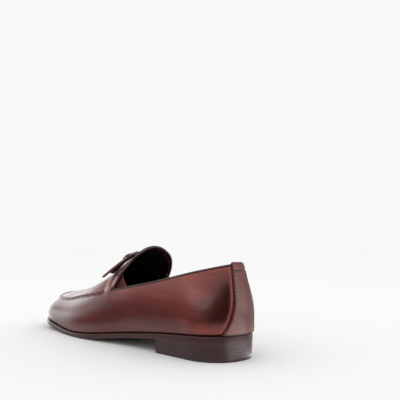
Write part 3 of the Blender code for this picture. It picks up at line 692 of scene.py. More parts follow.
def upper_turns():
    """Stations from the heel to the toe, those of the vamp evenly spaced along the apron seam."""
    throat = turn_of(THROAT_STATION)
    saddle = turn_of(SADDLE_STATION + SADDLE_EDGE)
    quarter = np.linspace(0, throat, QUARTER_STEPS + 1)
    band = np.linspace(throat, saddle, SADDLE_STEPS + 1)
    dense = np.linspace(saddle, math.pi, 4 * VAMP_STEPS)
    lengths = run_length(last_point(dense, OUTER, belt_share(dense, OUTER)))
    vamp = np.interp(np.linspace(0, lengths[-1], VAMP_STEPS + 1), lengths, dense)
    return np.concatenate([quarter, band[1:], vamp[1:]])


def run_length(points):
    steps = np.linalg.norm(np.diff(points, axis=0), axis=-1)
    return np.concatenate([[0.0], np.cumsum(steps)])


def profile_rows(turns, side):
    """Shares of the wall and top rows of each station, and their distances from the belt line."""
    dense = np.linspace(0, 1, PROFILE_SAMPLES)
    curves = last_point(turns[:, None], side, dense[None, :])
    belt = belt_share(turns, side)
    wall_spread = 1 - (1 - np.linspace(0, 1, WALL_ROWS)) ** ROW_CROWDING
    top_spread = np.linspace(0, 1, TOP_ROWS) ** ROW_CROWDING
    shares = []
    distances = []
    for station_belt, curve in zip(belt, curves):
        lengths = run_length(curve)
        to_belt = np.interp(station_belt, dense, lengths)
        places = np.concatenate([to_belt * wall_spread, to_belt + (lengths[-1] - to_belt) * top_spread])
        shares.append(np.interp(places, lengths, dense))
        distances.append(places - to_belt)
    shares = np.array(shares)
    distances = np.array(distances)
    shares[:, WALL_ROWS - 1] = belt
    shares[:, WALL_ROWS] = belt
    return shares, distances, belt


def relief(along, share, belt, distance, place):
    """Height over the last: saddle, puckered apron lip with its groove, and waves under the seam."""
    past = smooth(along, SADDLE_STATION - SADDLE_EDGE, SADDLE_STATION + SADDLE_EDGE)
    slope = smooth(along, SADDLE_STATION + SADDLE_EDGE, SADDLE_STATION - SADDLE_SLOPE)
    fade = np.clip((share / belt - SADDLE_FADE) / (1 - SADDLE_FADE), 0, 1) ** 2
    saddle = SADDLE_HEIGHT * fade * smooth(along, THROAT_STATION - SADDLE_RISE, THROAT_STATION) * slope
    pucker = 0.5 + 0.5 * np.cos(2 * math.pi * place / PUCKER_PITCH)
    lip = LIP_HEIGHT * hump(distance, LIP_PLACE, LIP_HALF) * (1 - PUCKER_SHARE * pucker)
    groove = GROOVE_DEPTH * hump(distance, GROOVE_PLACE, GROOVE_HALF)
    groove = groove * (GROOVE_LEAST + (1 - GROOVE_LEAST) * pucker)
    below = np.where(distance < 0, np.exp(distance / WAVE_REACH), 0) * smooth(-distance, *WAVE_START)
    wave = WAVE_HEIGHT * below * np.cos(2 * math.pi * place / WAVE_PITCH)
    return saddle + past * (lip - groove + wave)


def strap_distance(points):
    """Distance outside the back strap's edge, for points near the heel."""
    level = np.clip((points[..., 2] - OUTLINE[0].lift) / (PROFILE[0].belt - OUTLINE[0].lift), 0, 1)
    return np.abs(points[..., 1] - STRAP_CENTRE) - strap_half(level)


# Burnish and painted shadow by place: strengths, and the millimetres between which each patch comes or goes
HEEL_DARK, HEEL_DARK_FOOT, HEEL_DARK_TOP = 0.9, (26, 36), (83, 60)
HEEL_DARK_LEVELS, HEEL_DARK_REACHES = (42, 55), (23, 14)
MIDDLE_DARK, MIDDLE_DARK_ALONG, MIDDLE_DARK_UP = 0.55, (10, 60), (57, 36)
TOE_DARK, TOE_DARK_ALONG = 0.2, (215, 300)
# Painted shadow under the saddle strap: drop below the strap, and its ends along the shoe
STRAP_SHADOW_DEPTH, STRAP_SHADOW_BACK, STRAP_SHADOW_FRONT = (11, 8), (0, 3), (14, 8)
DARKEST = 0.95


def calf_burnish_and_shadow(points):
    """Rubbed burnish at heel and toe, a darker lower wall past the heel, painted shadow under the saddle
    strap.
    """
    along, across, up = points[..., 0], points[..., 1], points[..., 2]
    heel = HEEL_DARK * hump(along, 0, np.interp(up, HEEL_DARK_LEVELS, HEEL_DARK_REACHES))
    heel = heel * smooth(up, *HEEL_DARK_FOOT) * smooth(up, *HEEL_DARK_TOP)
    middle = MIDDLE_DARK * smooth(along, *MIDDLE_DARK_ALONG) * smooth(up, *MIDDLE_DARK_UP)
    toe = TOE_DARK * smooth(along, *TOE_DARK_ALONG)
    side = across - centre(BIT_ALONG)
    strap_level = BIT_CREST - BIT_FALL * (np.hypot(side, BIT_BEND) - BIT_BEND)
    # Painted shadow on the saddle and tongue just under the strap
    strap_shadow = smooth(strap_level - up, *STRAP_SHADOW_DEPTH) * smooth(along - THROAT_STATION, *STRAP_SHADOW_BACK)
    strap_shadow = strap_shadow * smooth(along - BIT_ALONG, *STRAP_SHADOW_FRONT) * (np.abs(side) < BIT_SPAN)
    return np.clip(np.maximum(heel + middle + toe, strap_shadow), 0, DARKEST)


FOLD_RUST, FOLD_PLACE, FOLD_HALF = 0.7, 1.5, 0.8
COLLAR_RUST, COLLAR_RUST_PLACE, COLLAR_RUST_HALF = 0.3, -1, 1.2
SEAM_SHADE, SEAM_SHADE_HALF = 0.65, 0.8
LIP_SHADE, LIP_SHADE_PLACE, LIP_SHADE_HALF = 0.35, 2.4, 0.5
SADDLE_RUST, SADDLE_RUST_ALONG = 0.22, (6, -2)
SEAM_SHADE_START = 2
WELT_SHADE, EDGE_SHADE = 2.2, 0.9


def make_upper():
    turns = upper_turns()
    along = along_of(turns)[:, None]
    shell = Shell()
    front = QUARTER_STEPS
    tops = {}
    walls = {}
    for side in (OUTER, INNER):
        shares, distances, belt = profile_rows(turns, side)
        grid = np.broadcast_to(turns[:, None], shares.shape)
        points = last_point(grid, side, shares)
        out = last_directions(grid, side, shares)[2]
        seam = run_length(last_point(turns, side, belt))[:, None]
        raised = relief(along, shares, belt[:, None], distances, seam - seam[-1])
        from_feather = distances - distances[:, :1]
        raised = raised - FEATHER_ROLL * (1 - np.clip(from_feather / FEATHER_REACH, 0, 1)) ** 2
        skin = points + out * raised[..., None]
        lining = points - out * WALL
        reaches = np.linspace(1, 0, TONGUE_STEPS + 1)[:-1, None]
        throat_shares = (shares[front, WALL_ROWS:] - belt[front]) / (1 - belt[front])
        flap = tongue_point(throat_shares[None, :], side, reaches)
        flap_out = tongue_out(throat_shares[None, :], side, reaches)
        top_skin = np.concatenate([flap, skin[front:, WALL_ROWS:]])
        top_lining = np.concatenate([flap - flap_out * TONGUE_WALL, lining[front:, WALL_ROWS:]])
        inner_rows = np.unique(np.linspace(0, WALL_ROWS - 1, LINING_ROWS).round().astype(int))
        walls[side] = [skin[:, :WALL_ROWS], lining[:, inner_rows], distances, from_feather]
        tops[side] = [top_skin, top_lining]
    for layer in (0, 1):
        for end in (0, -1):
            shared = (walls[OUTER][layer][end] + walls[INNER][layer][end]) / 2
            walls[OUTER][layer][end] = walls[INNER][layer][end] = shared
        shared = (tops[OUTER][layer][-1] + tops[INNER][layer][-1]) / 2
        tops[OUTER][layer][-1] = tops[INNER][layer][-1] = shared
        ridge = (tops[OUTER][layer][:, -1] + tops[INNER][layer][:, -1]) / 2
        tops[OUTER][layer][:, -1] = tops[INNER][layer][:, -1] = ridge
        for side in (OUTER, INNER):
            belt_row = walls[side][layer][front:, -1]
            tops[side][layer][TONGUE_STEPS:, 0] = belt_row
    for side in (OUTER, INNER):
        skin, lining, distances, from_feather = walls[side]
        top_skin, top_lining = tops[side]
        gap = strap_distance(skin)
        near_heel = skin[..., 0] < HEEL_BREAST
        folded = FOLD_RUST * hump(gap, FOLD_PLACE, FOLD_HALF) * near_heel
        collar = COLLAR_RUST * hump(distances[:, :WALL_ROWS], COLLAR_RUST_PLACE, COLLAR_RUST_HALF)
        collar = collar * (along < THROAT_STATION)
        vamp = smooth(along, SADDLE_STATION, SADDLE_STATION + SEAM_SHADE_START)
        seam = SEAM_SHADE * hump(distances, GROOVE_PLACE, SEAM_SHADE_HALF)
        seam = (seam + LIP_SHADE * hump(distances, LIP_SHADE_PLACE, LIP_SHADE_HALF)) * vamp
        welt = smooth(from_feather[:, :WALL_ROWS], WELT_SHADE, WELT_SHADE / 2)
        edge = smooth(gap, EDGE_SHADE, 0) * near_heel
        dark = np.maximum.reduce([calf_burnish_and_shadow(skin) * (1 - folded), seam[:, :WALL_ROWS], welt, edge])
        rust = np.maximum(folded, collar) * (1 - edge) * (1 - welt)
        outer = shell.add_grid(skin, burnish=dark, rust=rust)
        inner = shell.add_grid(lining, 1)
        top_dark = calf_burnish_and_shadow(top_skin)
        top_dark[TONGUE_STEPS:] = np.maximum(top_dark[TONGUE_STEPS:], seam[front:, WALL_ROWS:])
        top_rust = SADDLE_RUST * smooth(top_skin[..., 0] - SADDLE_STATION, *SADDLE_RUST_ALONG)
        top_outer = shell.add_grid(top_skin, burnish=top_dark, rust=top_rust * (1 - top_dark))
        top_inner = shell.add_points(top_lining)
        shell.add_faces(grid_faces(top_inner[:2]), 1)
        shell.add_faces(grid_faces(top_inner[1:3]), 2)
        shell.add_faces(grid_faces(top_inner[2:]), 1)
        for first, second in ((outer[:, 0], inner[:, 0]), (outer[:front + 1, -1], inner[:front + 1, -1])):
            shell.add_faces(grid_faces(np.stack([first, second])), 1)
        shell.add_faces(grid_faces(np.stack([top_outer[0], top_inner[0]])), 1)
    materials = (CALF, LINING, FACING)
    shell.finish("loafer_upper", materials, "burnished_leather", ("upper", "tongue"))


# Piping round the topline and the tongue

PIPING_SPACING, PIPING_SIDES = 0.9, 12
PIPING_CORNER, PIPING_CORNER_PASSES = 4, 30
PIPING_UP = 1.2
PIPING_COLLAR_STEPS, PIPING_TONGUE_STEPS = 90, 70
PIPING_EASE = 0.15


def piping_path():
    """Closed run from the heel along one collar, up the tongue, down and back along the other."""
    throat = turn_of(THROAT_STATION)
    turns = np.linspace(0, throat, PIPING_COLLAR_STEPS)
    shares = np.linspace(0, 1, PIPING_TONGUE_STEPS)
    runs = []
    for side in (OUTER, INNER):
        edge, upward, out = collar_frame(turns, side)
        rim = tongue_point(shares, side, 1.0)
        rim_out = tongue_out(shares, side, 1.0)
        nudge = 0.02
        back = unit(rim - tongue_point(shares, side, 1.0 - nudge))
        back[0] = upward[-1]
        mean = np.cumsum(back, axis=0) / np.arange(1, len(back) + 1)[:, None]
        back = unit(mean * PIPING_EASE + back * (1 - PIPING_EASE))
        collar = edge + upward * PIPING_UP
        tongue = rim - rim_out * TONGUE_WALL / 2 + back * PIPING_UP
        path = np.concatenate([collar[:-1], tongue[1:]])
        outs = np.concatenate([out[:-1], rim_out[1:]])
        ups = np.concatenate([upward[:-1], back[1:]])
        runs.append([path, outs, ups])
    return [np.concatenate([first, second[-2:0:-1]]) for first, second in zip(*runs)]


def resample(path, others, spacing):
    """Even spacing along a closed run."""
    closed = np.concatenate([path, path[:1]])
    lengths = run_length(closed)
    count = int(round(lengths[-1] / spacing))
    places = np.linspace(0, lengths[-1], count + 1)[:-1]
    result = []
    for values in [path, *others]:
        values = np.concatenate([values, values[:1]])
        result.append(np.stack([np.interp(places, lengths, values[:, axis]) for axis in range(3)], axis=-1))
    return result


def make_piping():
    path, outs, ups = piping_path()
    path, outs, ups = resample(path, (outs, ups), PIPING_SPACING)
    for _ in range(PIPING_CORNER):
        path = (np.roll(path, 1, axis=0) + 2 * path + np.roll(path, -1, axis=0)) / 4
    for _ in range(PIPING_CORNER_PASSES):
        outs = unit(np.roll(outs, 1, axis=0) + outs + np.roll(outs, -1, axis=0))
    forward = unit(np.roll(path, -1, axis=0) - np.roll(path, 1, axis=0))
    outs = unit(outs - forward * np.sum(outs * forward, axis=-1, keepdims=True))
    ups = np.cross(outs, forward)
    shell = Shell()
    shell.add_tube(path, outs, ups, (BINDING_ACROSS, PIPING_UP), PIPING_SIDES, closed=True)
    nodes = ("collar_binding", "tongue_binding")
    shell.finish("topline_piping", (PIPING,), "edge_leather", nodes, crease=80.0)


# Elastic gores

GORE_FINE, GORE_UP = 44, 14
GORE_EDGE, GORE_EDGE_SIDES, GORE_HEM = 0.75, 10, (0.93, 0.97)


def make_gore(name, node, side):
    start = turn_of(THROAT_STATION) * (1 - GORE_LOW)
    rows = []
    for climb in np.linspace(0, 1, GORE_UP):
        steps = np.linspace(0, 1 - GORE_PINCH * math.sin(climb * math.pi), GORE_FINE)
        shares = GORE_LOW + (GORE_HIGH - GORE_LOW) * steps
        high = tongue_point(shares, side, GORE_REACH) - tongue_out(shares, side, GORE_REACH) * GORE_TUCK
        edge, upward, out = collar_frame(start + (turn_of(GORE_BACK) - start) * steps, side)
        low = edge - out * (GORE_TUCK - WALL / 2) - upward
        rows.append(low * (1 - climb) + high * climb)
    front = np.array(rows)
    inward = unit(np.cross(front[-1] - front[0], front[GORE_UP // 2, -1] - front[GORE_UP // 2, 0]))
    inward = inward * np.sign(-side * inward[:, 1:2])
    rust = np.broadcast_to(smooth(np.linspace(0, 1, GORE_FINE), *GORE_HEM), front.shape[:2])
    shell = Shell()
    outer = shell.add_grid(front, rust=rust)
    inner = shell.add_grid(front + inward[None] * GORE_WALL, rust=rust)
    close_sheet(shell, outer, inner)
    rear = front[:, -1] + inward[-1] * GORE_WALL / 2
    level = unit(front[:, -1] - front[:, -2])
    facing = np.repeat(inward[-1:], GORE_UP, axis=0)
    shell.add_tube(rear, level, facing, (GORE_EDGE, GORE_EDGE), GORE_EDGE_SIDES, kind=1)
    shell.finish(name, (ELASTIC, FACING), "elastic", (node,))


def close_sheet(shell, outer, inner, kind=0):
    """Rim faces between two grids of point numbers of the same size."""
    rows, steps = outer.shape
    loop = [(r, 0) for r in range(rows)] + [(rows - 1, s) for s in range(1, steps)]
    loop += [(r, steps - 1) for r in range(rows - 2, -1, -1)] + [(0, s) for s in range(steps - 2, 0, -1)]
    rims = [np.array([layer[place] for place in loop]) for layer in (outer, inner)]
    shell.add_faces(loop_faces(*rims), kind)


# Back strap with its stitches

STRAP_FINE_ROWS, STRAP_FINE_COLUMNS, STRAP_HOOK_STEPS = 60, 26, 10
STRAP_SEAM_DROP, STRAP_SEAM_DEPTH, STRAP_SEAM_HALF = 3.6, 0.7, 0.6
STRAP_FOOT_SHADE = 0.05
STRAP_PASSES, STRAP_HALVINGS = 3, 34
STRAP_EDGE_THIN, STRAP_EDGE_FROM = 0.55, 0.9
# Darker strap tone, and painted shade along its rims
STRAP_DARK, STRAP_PATCH, STRAP_RIM_SHADE, STRAP_RIM = 0.3, 0.2, 0.9, (0.88, 0.97)
STITCH_INSET, STITCH_PITCH, STITCH_LENGTH, STITCH_RADIUS = 1.7, 2.7, 1.9, 0.42


def strap_skin(levels, offsets):
    """Points of the wall under the strap, with their outward directions, turns and sides."""
    levels, offsets = np.broadcast_arrays(levels, offsets)
    across = STRAP_CENTRE + offsets * strap_half(levels)
    sides = np.where(across < 0, INNER, OUTER)
    points = np.zeros(levels.shape + (3,))
    outs = np.zeros_like(points)
    turns = np.zeros(levels.shape)
    for side in (OUTER, INNER):
        here = sides == side
        distance = np.abs(across[here])
        level = levels[here]
        turn = np.zeros_like(level)
        for _ in range(STRAP_PASSES):
            share = level * belt_share(turn, side)
            low = np.zeros_like(level)
            high = np.full_like(level, turn_of(HEEL_BREAST))
            for _ in range(STRAP_HALVINGS):
                middle = (low + high) / 2
                inside = np.abs(last_point(middle, side, share)[..., 1]) < distance
                low = np.where(inside, middle, low)
                high = np.where(inside, high, middle)
            turn = (low + high) / 2
        points[here] = last_point(turn, side, share)
        outs[here] = last_directions(turn, side, share)[2]
        turns[here] = turn
    return points, outs, turns, sides


def strap_ease(levels):
    """Extra lift of the strap toward the topline, where it runs over the piping."""
    return np.interp(levels, (STRAP_EASE_LEVEL, STRAP_HIGH), (0.0, BINDING_ACROSS - WALL / 2))


def make_back_strap():
    offsets = np.linspace(-1, 1, STRAP_FINE_COLUMNS)[None, :]
    levels = np.linspace(STRAP_LOW, STRAP_HIGH, STRAP_FINE_ROWS)[:, None]
    points, outs, turns, sides = strap_skin(levels, offsets)
    rounding = 1 - STRAP_EDGE_THIN * smooth(np.abs(offsets), STRAP_EDGE_FROM, 1.0)
    top_drop = PROFILE[0].belt - points[..., 2]
    seam = STRAP_SEAM_DEPTH * hump(top_drop, STRAP_SEAM_DROP, STRAP_SEAM_HALF)
    lift = GAP + STRAP_WALL * rounding - seam + strap_ease(levels)
    front = points + outs * lift[..., None]
    back = points + outs * (GAP / 3)
    hook_front = []
    hook_back = []
    reach = BINDING_ACROSS + GAP
    hook = PIPING_UP + GAP
    for column in range(STRAP_FINE_COLUMNS):
        turn = np.array(turns[-1, column])
        side = int(sides[-1, column])
        edge, upward, out = collar_frame(turn, side)
        core = edge + upward * (GAP + BINDING_UP)
        wall = STRAP_WALL * float(rounding[0, column])
        angles = np.linspace(0, math.pi, STRAP_HOOK_STEPS + 1)[:, None]
        around = out * np.cos(angles) * reach + upward * np.sin(angles) * hook
        facing = unit(out * np.cos(angles) + upward * np.sin(angles))
        run = core + around
        run = np.concatenate([run, run[-1:] - upward * STRAP_RETURN])
        facing = np.concatenate([facing, facing[-1:]])
        hook_front.append(run + facing * wall)
        hook_back.append(run - facing * GAP / 2)
    front = np.concatenate([front, np.stack(hook_front, axis=1)])
    back = np.concatenate([back, np.stack(hook_back, axis=1)])
    shell = Shell()
    # Painted shade: dark rims along both edges, a dark line at the foot and along the cross seam
    worn = STRAP_DARK + STRAP_PATCH * calf_burnish_and_shadow(front)
    rim = STRAP_RIM_SHADE * smooth(np.abs(offsets), *STRAP_RIM)
    shade = np.maximum(smooth(levels, STRAP_FOOT_SHADE, STRAP_LOW), seam / STRAP_SEAM_DEPTH)
    worn[:STRAP_FINE_ROWS] = np.maximum(worn[:STRAP_FINE_ROWS], shade)
    outer = shell.add_grid(front, burnish=np.maximum(worn, rim))
    inner = shell.add_grid(back, burnish=worn)
    close_sheet(shell, outer, inner)
    shell.finish("heel_strap", (CALF,), "burnished_leather", ("back_strap",), crease=60.0)


STITCH_RINGS, STITCH_SIDES = 7, 6
STITCH_DIP, STITCH_LIFT, STITCH_FLAT = 1.6, 0.45, 0.8
STITCH_FULL, STITCH_TIP = 1.05, 0.15
STITCH_AHEAD = 0.3


def add_stitch(shell, middle, forward, out, length, radius):
    """One thread stitch: a short round run whose ends dip into the leather."""
    steps = np.linspace(-1, 1, STITCH_RINGS)
    dip = -radius * STITCH_DIP * np.abs(steps) ** 3
    path = middle + np.outer(steps * length / 2, forward) + np.outer(dip + radius * STITCH_LIFT, out)
    taper = radius * np.sqrt(np.clip(STITCH_FULL - steps ** 4, STITCH_TIP, 1))
    sideways = np.repeat(np.cross(out, forward)[None], STITCH_RINGS, 0)
    radii = np.stack([taper, taper * STITCH_FLAT], axis=-1)
    shell.add_tube(path, sideways, np.repeat(out[None], STITCH_RINGS, 0), radii, STITCH_SIDES)


def at_length(place, lengths, values):
    return np.array([np.interp(place, lengths, values[:, axis]) for axis in range(3)])


def stitch_run(shell, path, outs, pitch, length, radius):
    """Evenly spaced stitches along an open run."""
    lengths = run_length(path)
    count = int(lengths[-1] / pitch)
    for place in (np.arange(count) + 0.5) * lengths[-1] / count:
        middle = at_length(place, lengths, path)
        forward = unit(at_length(place + STITCH_AHEAD, lengths, path) - middle)
        out = unit(at_length(place, lengths, outs))
        out = unit(out - forward * float(out @ forward))
        add_stitch(shell, middle, forward, out, length, radius)


STITCH_LOW, STITCH_HIGH, STITCH_SAMPLES = 0.02, 0.93, 70


def make_strap_stitches():
    shell = Shell()
    levels = np.linspace(STITCH_LOW, STITCH_HIGH, STITCH_SAMPLES)
    for sign in (-1, 1):
        offsets = sign * (1 - STITCH_INSET / strap_half(levels))
        points, outs, _, _ = strap_skin(levels, offsets)
        path = points + outs * (GAP + STRAP_WALL + strap_ease(levels))[:, None]
        stitch_run(shell, path, outs, STITCH_PITCH, STITCH_LENGTH, STITCH_RADIUS)
    shell.finish("heel_strap_stitches", (THREAD,), "burnished_leather", crease=80.0)


SEAM_STITCH_LENGTH, SEAM_STITCH_RADIUS = 2.2, 0.2
SEAM_STITCH_START, SEAM_STITCH_SAMPLES = 3, 700
SEAM_STITCH_DROP, SEAM_STITCH_LEVEL = 0.6, 0.72
SEAM_STITCH_UP, SEAM_STITCH_OUT = 0.97, 0.25


def make_apron_stitches():
    """Stitches over the apron's lip, one in each pucker."""
    shell = Shell()
    turns = np.linspace(turn_of(SADDLE_STATION + SEAM_STITCH_START), math.pi, SEAM_STITCH_SAMPLES)
    height = SEAM_STITCH_LEVEL * LIP_HEIGHT * (1 - PUCKER_SHARE)
    for side in (OUTER, INNER):
        lengths = run_length(last_point(turns, side, belt_share(turns, side)))
        for number in range(1, int(lengths[-1] / PUCKER_PITCH) + 1):
            turn = np.array(np.interp(lengths[-1] - number * PUCKER_PITCH, lengths, turns))
            share = belt_share(turn, side)
            _, upward, out = last_directions(turn, side, share)
            middle = last_point(turn, side, share) - upward * SEAM_STITCH_DROP + out * height
            lean = unit(upward * SEAM_STITCH_UP + out * SEAM_STITCH_OUT)
            facing = unit(out - lean * float(out @ lean))
            add_stitch(shell, middle, lean, facing, SEAM_STITCH_LENGTH, SEAM_STITCH_RADIUS)
    shell.finish("apron_stitches", (THREAD,), "burnished_leather", crease=80.0)


# Sole, heel and insole

TOE_SLACK = 1e-6
BEFORE_HEEL = 12
WORN_LEAST = 0.12


def make_slab(name, turns, levels, material, slot, node, rust=None):
    """Plate with the shoe's outline from (inset, height) curves, bottom to top, capped by ladders."""
    along = along_of(turns)
    reaches_toe = turns[-1] > turn_of(LENGTH) - TOE_SLACK
    shell = Shell()
    rings = []
    for number, (inset, height) in enumerate(levels):
        outer = edge_point(turns, OUTER, inset(along), height(along))
        inner = edge_point(turns, INNER, inset(along), height(along))
        back = inner[-2:0:-1] if reaches_toe else inner[:0:-1]
        ring = np.concatenate([outer, back])
        tint = 0.0 if rust is None else rust[number] * before_heel(ring[:, 0])
        rings.append(shell.add_points(ring, rust=tint))
    for low, high in zip(rings, rings[1:]):
        shell.add_faces(loop_faces(low, high))
    for ring in (rings[0], rings[-1]):
        size = len(ring)
        pairs = [(ring[i], ring[(size - i) % size]) for i in range(len(turns))]
        for (outer, inner), (next_outer, next_inner) in zip(pairs, pairs[1:]):
            corners = tuple(dict.fromkeys((int(outer), int(next_outer), int(next_inner), int(inner))))
            shell.add_faces([corners])
    shell.finish(name, (material,), slot, (node,), crease=35.0)


def flat(value):
    return lambda along: np.full_like(along, value)


def before_heel(along):
    """1 on the free sole ahead of the heel, 0 over the heel."""
    return smooth(along, HEEL_BREAST, HEEL_BREAST + BEFORE_HEEL)


def sole_edge_inset(value):
    """Inset of the sole's worn lower edge, which is square over the heel."""
    return lambda along: value * (WORN_LEAST + (1 - WORN_LEAST) * before_heel(along))


def sole_top(offset=0.0):
    return lambda along: OUTLINE_AT["lift"](along) + offset


def sole_bottom(offset=0.0):
    return lambda along: np.maximum(OUTLINE_AT["lift"](along) - SOLE_THICKNESS, 0) + offset


SOLE_FINE = 170
CHANNEL_PLACE, CHANNEL_HALF, CHANNEL_DEPTH = 5.0, 0.55, 0.45


def make_outsole():
    turns = np.linspace(0, math.pi, SOLE_FINE + 1)
    levels = (
        (flat(CHANNEL_PLACE + 2 * CHANNEL_HALF), sole_bottom()),
        (flat(CHANNEL_PLACE + CHANNEL_HALF), sole_bottom()),
        (flat(CHANNEL_PLACE), sole_bottom(CHANNEL_DEPTH)),
        (flat(CHANNEL_PLACE - CHANNEL_HALF), sole_bottom()),
        (sole_edge_inset(1.4), sole_bottom()),
        (sole_edge_inset(0.55), sole_bottom(0.3)),
        (sole_edge_inset(0.1), sole_bottom(0.9)),
        (flat(0.0), sole_bottom(1.6)),
        (flat(0.0), sole_top(-1.5)),
        (flat(0.12), sole_top(-0.8)),
        (flat(0.5), sole_top(-0.25)),
        (flat(1.1), sole_top()),
    )
    rust = (0, 0, 0, 0, 0.2, 0.35, 0.2, 0.03, 0, 0, 0, 0)
    make_slab("leather_outsole", turns, levels, SOLE, "sole_leather", "outsole", rust)


HEEL_FINE = 70
LIFT_SEAM = 0.02
LIFT_ROUND = 0.1


def make_heel():
    """Top piece on the floor, level lifts above it and a wedge under the sole's slope."""
    turns = np.linspace(0, turn_of(HEEL_BREAST), HEEL_FINE + 1)
    tallest = float(sole_bottom()(np.array(0.0)))
    names = ("top_piece", "heel_lift_1", "heel_lift_2", "heel_lift_3")
    for number, node in enumerate(names):
        low = LIFT_LEVELS[number] + (LIFT_SEAM if number else 0.0)
        wedge = number == len(names) - 1
        high = tallest if wedge else LIFT_LEVELS[number + 1]
        low_inset = HEEL_TAPER * (1 - low / tallest)
        high_inset = HEEL_TAPER * (1 - high / tallest)
        top = sole_bottom(-LIFT_SEAM) if wedge else flat(high)
        under_top = sole_bottom(-LIFT_SEAM - LIFT_ROUND) if wedge else flat(high - LIFT_ROUND)
        levels = (
            (flat(low_inset + LIFT_ROUND), flat(low)),
            (flat(low_inset), flat(low + LIFT_ROUND)),
            (flat(high_inset), under_top),
            (flat(high_inset + LIFT_ROUND), top),
        )
        finish = HEEL if number else TOP_PIECE
        slot = "heel_leather" if number else "heel_rubber"
        make_slab("shoe_" + node, turns, levels, finish, slot, node)


def make_insole():
    turns = np.linspace(0, math.pi, SOLE_FINE + 1)

    def inset(extra):
        return lambda along: OUTLINE_AT["margin"](along) + INSOLE_INSET + extra

    top = GAP + INSOLE_THICKNESS
    levels = (
        (inset(0.0), sole_top(GAP)),
        (inset(0.0), sole_top(top - 0.8)),
        (inset(0.35), sole_top(top - 0.2)),
        (inset(1.0), sole_top(top)),
    )
    make_slab("sock_insole", turns, levels, SOCK, "sock_leather", "insole")


# Strap across the saddle and its bit

BIT_FINE = 72
BIT_ROW = 15
SHADOW_BASE_TUCK = 0.35
DOME_EDGE, DOME_EDGE_POWER, DOME_MIDDLE, DOME_UNDER = 0.55, 8, 0.25, 0.6
# Darker face of the strap, and painted shade on its underside
BIT_DARK, BIT_UNDER_SHADE = 0.25, 0.5
BIT_RUST, BIT_RUST_FROM, BIT_UNDER_RUST = 0.3, 0.9, 0.2


def make_bit_strap():
    """Leather strap with rounded edges and free ends, on a black base as painted shadow, cut away for the
    rings.
    """
    steps = np.sin(np.linspace(-1, 1, BIT_ROW) * math.pi / 2)
    dome = DOME_EDGE * np.abs(steps) ** DOME_EDGE_POWER + DOME_MIDDLE * steps ** 2
    front = []
    back = []
    shadow_base_top = []
    shadow_base_bottom = []
    for place in np.sin(np.linspace(-1, 1, BIT_FINE + 1) * math.pi / 2):
        middle, forward, out, half = bit_frame(place)
        row = middle + np.outer(steps * half, forward)
        front.append(row - np.outer(dome, out))
        back.append(row - np.outer(BIT_THICK - dome * DOME_UNDER, out))
        shadow_pad = np.interp(abs(place), SHADOW_PAD_PLACES, SHADOW_PAD_DEPTHS)
        if abs(place) < SHADOW_PAD_PLACES[-2]:
            shadow_base_top.append(row - np.outer(BIT_THICK - dome - SHADOW_BASE_TUCK, out))
            shadow_base_bottom.append(row - np.outer(BIT_THICK + shadow_pad - dome, out))
    shell = Shell()
    front = np.array(front)
    edge = np.broadcast_to(BIT_RUST * smooth(np.abs(steps), BIT_RUST_FROM, 1.0), front.shape[:2])
    outer = shell.add_grid(front, burnish=BIT_DARK, rust=edge)
    # Painted shade on the strap's underside
    inner = shell.add_grid(np.array(back), burnish=BIT_UNDER_SHADE, rust=BIT_UNDER_RUST)
    close_sheet(shell, outer, inner)
    # Black base under the strap: painted shadow filling the gap to the saddle
    outer = shell.add_grid(np.array(shadow_base_top), 1)
    inner = shell.add_grid(np.array(shadow_base_bottom), 1)
    close_sheet(shell, outer, inner, 1)
    shell.finish("saddle_strap", (CALF, LINING), "burnished_leather", ("bit_strap",), crease=60.0)


RING_FINE, RING_SIDES = 10, 12
BAR_FINE, BAR_SIDES = 60, 16


def make_bit():
    """Two rings that the strap runs through, joined by a bar with a bead over the strap."""
    for node, place in (("bit_ring_lateral", RING_PLACE), ("bit_ring_medial", -RING_PLACE)):
        middle, forward, out, half = bit_frame(place / BIT_SPAN)
        core = middle - out * BIT_THICK / 2
        corner = RING_WIRE + RING_CLEAR + RING_EASE
        wide = half - RING_EASE
        tall = BIT_THICK / 2 - RING_EASE
        path = []
        radial = []
        for quarter, (toward, upward) in enumerate(((1, 1), (-1, 1), (-1, -1), (1, -1))):
            for step in range(RING_FINE + 1):
                angle = (quarter + step / RING_FINE) * math.pi / 2
                direction = forward * math.cos(angle) + out * math.sin(angle)
                path.append(core + forward * toward * wide + out * upward * tall + direction * corner)
                radial.append(direction)
        sideways = np.repeat(np.cross(out, forward)[None], len(path), axis=0)
        shell = Shell()
        shell.add_tube(path, radial, sideways, (RING_WIRE, RING_WIRE), RING_SIDES, closed=True)
        shell.finish("metal_" + node, (METAL,), "bit_metal", (node,), crease=80.0)
    start = RING_PLACE - RING_WIRE - GAP / 3
    ratios = np.linspace(-1, 1, BAR_FINE + 1)
    frames = [bit_frame(ratio * start / BIT_SPAN) for ratio in ratios]
    bead = np.exp(-(ratios / BEAD_SHARE) ** 2)
    radius = BAR_WAIST + (BAR_RADIUS - BAR_WAIST) * ratios ** 2 + (BAR_BEAD - BAR_WAIST) * bead
    path = []
    for thick, (middle, forward, out, _) in zip(radius, frames):
        path.append(middle + forward * BAR_FORWARD + out * (GAP + thick))
    radii = np.stack([radius, radius], axis=-1)
    shell = Shell()
    shell.add_tube(path, [f[1] for f in frames], [f[2] for f in frames], radii, BAR_SIDES)
    shell.finish("metal_bit_bar", (METAL,), "bit_metal", ("bit_bar",), crease=60.0)


# Camera, floor and light

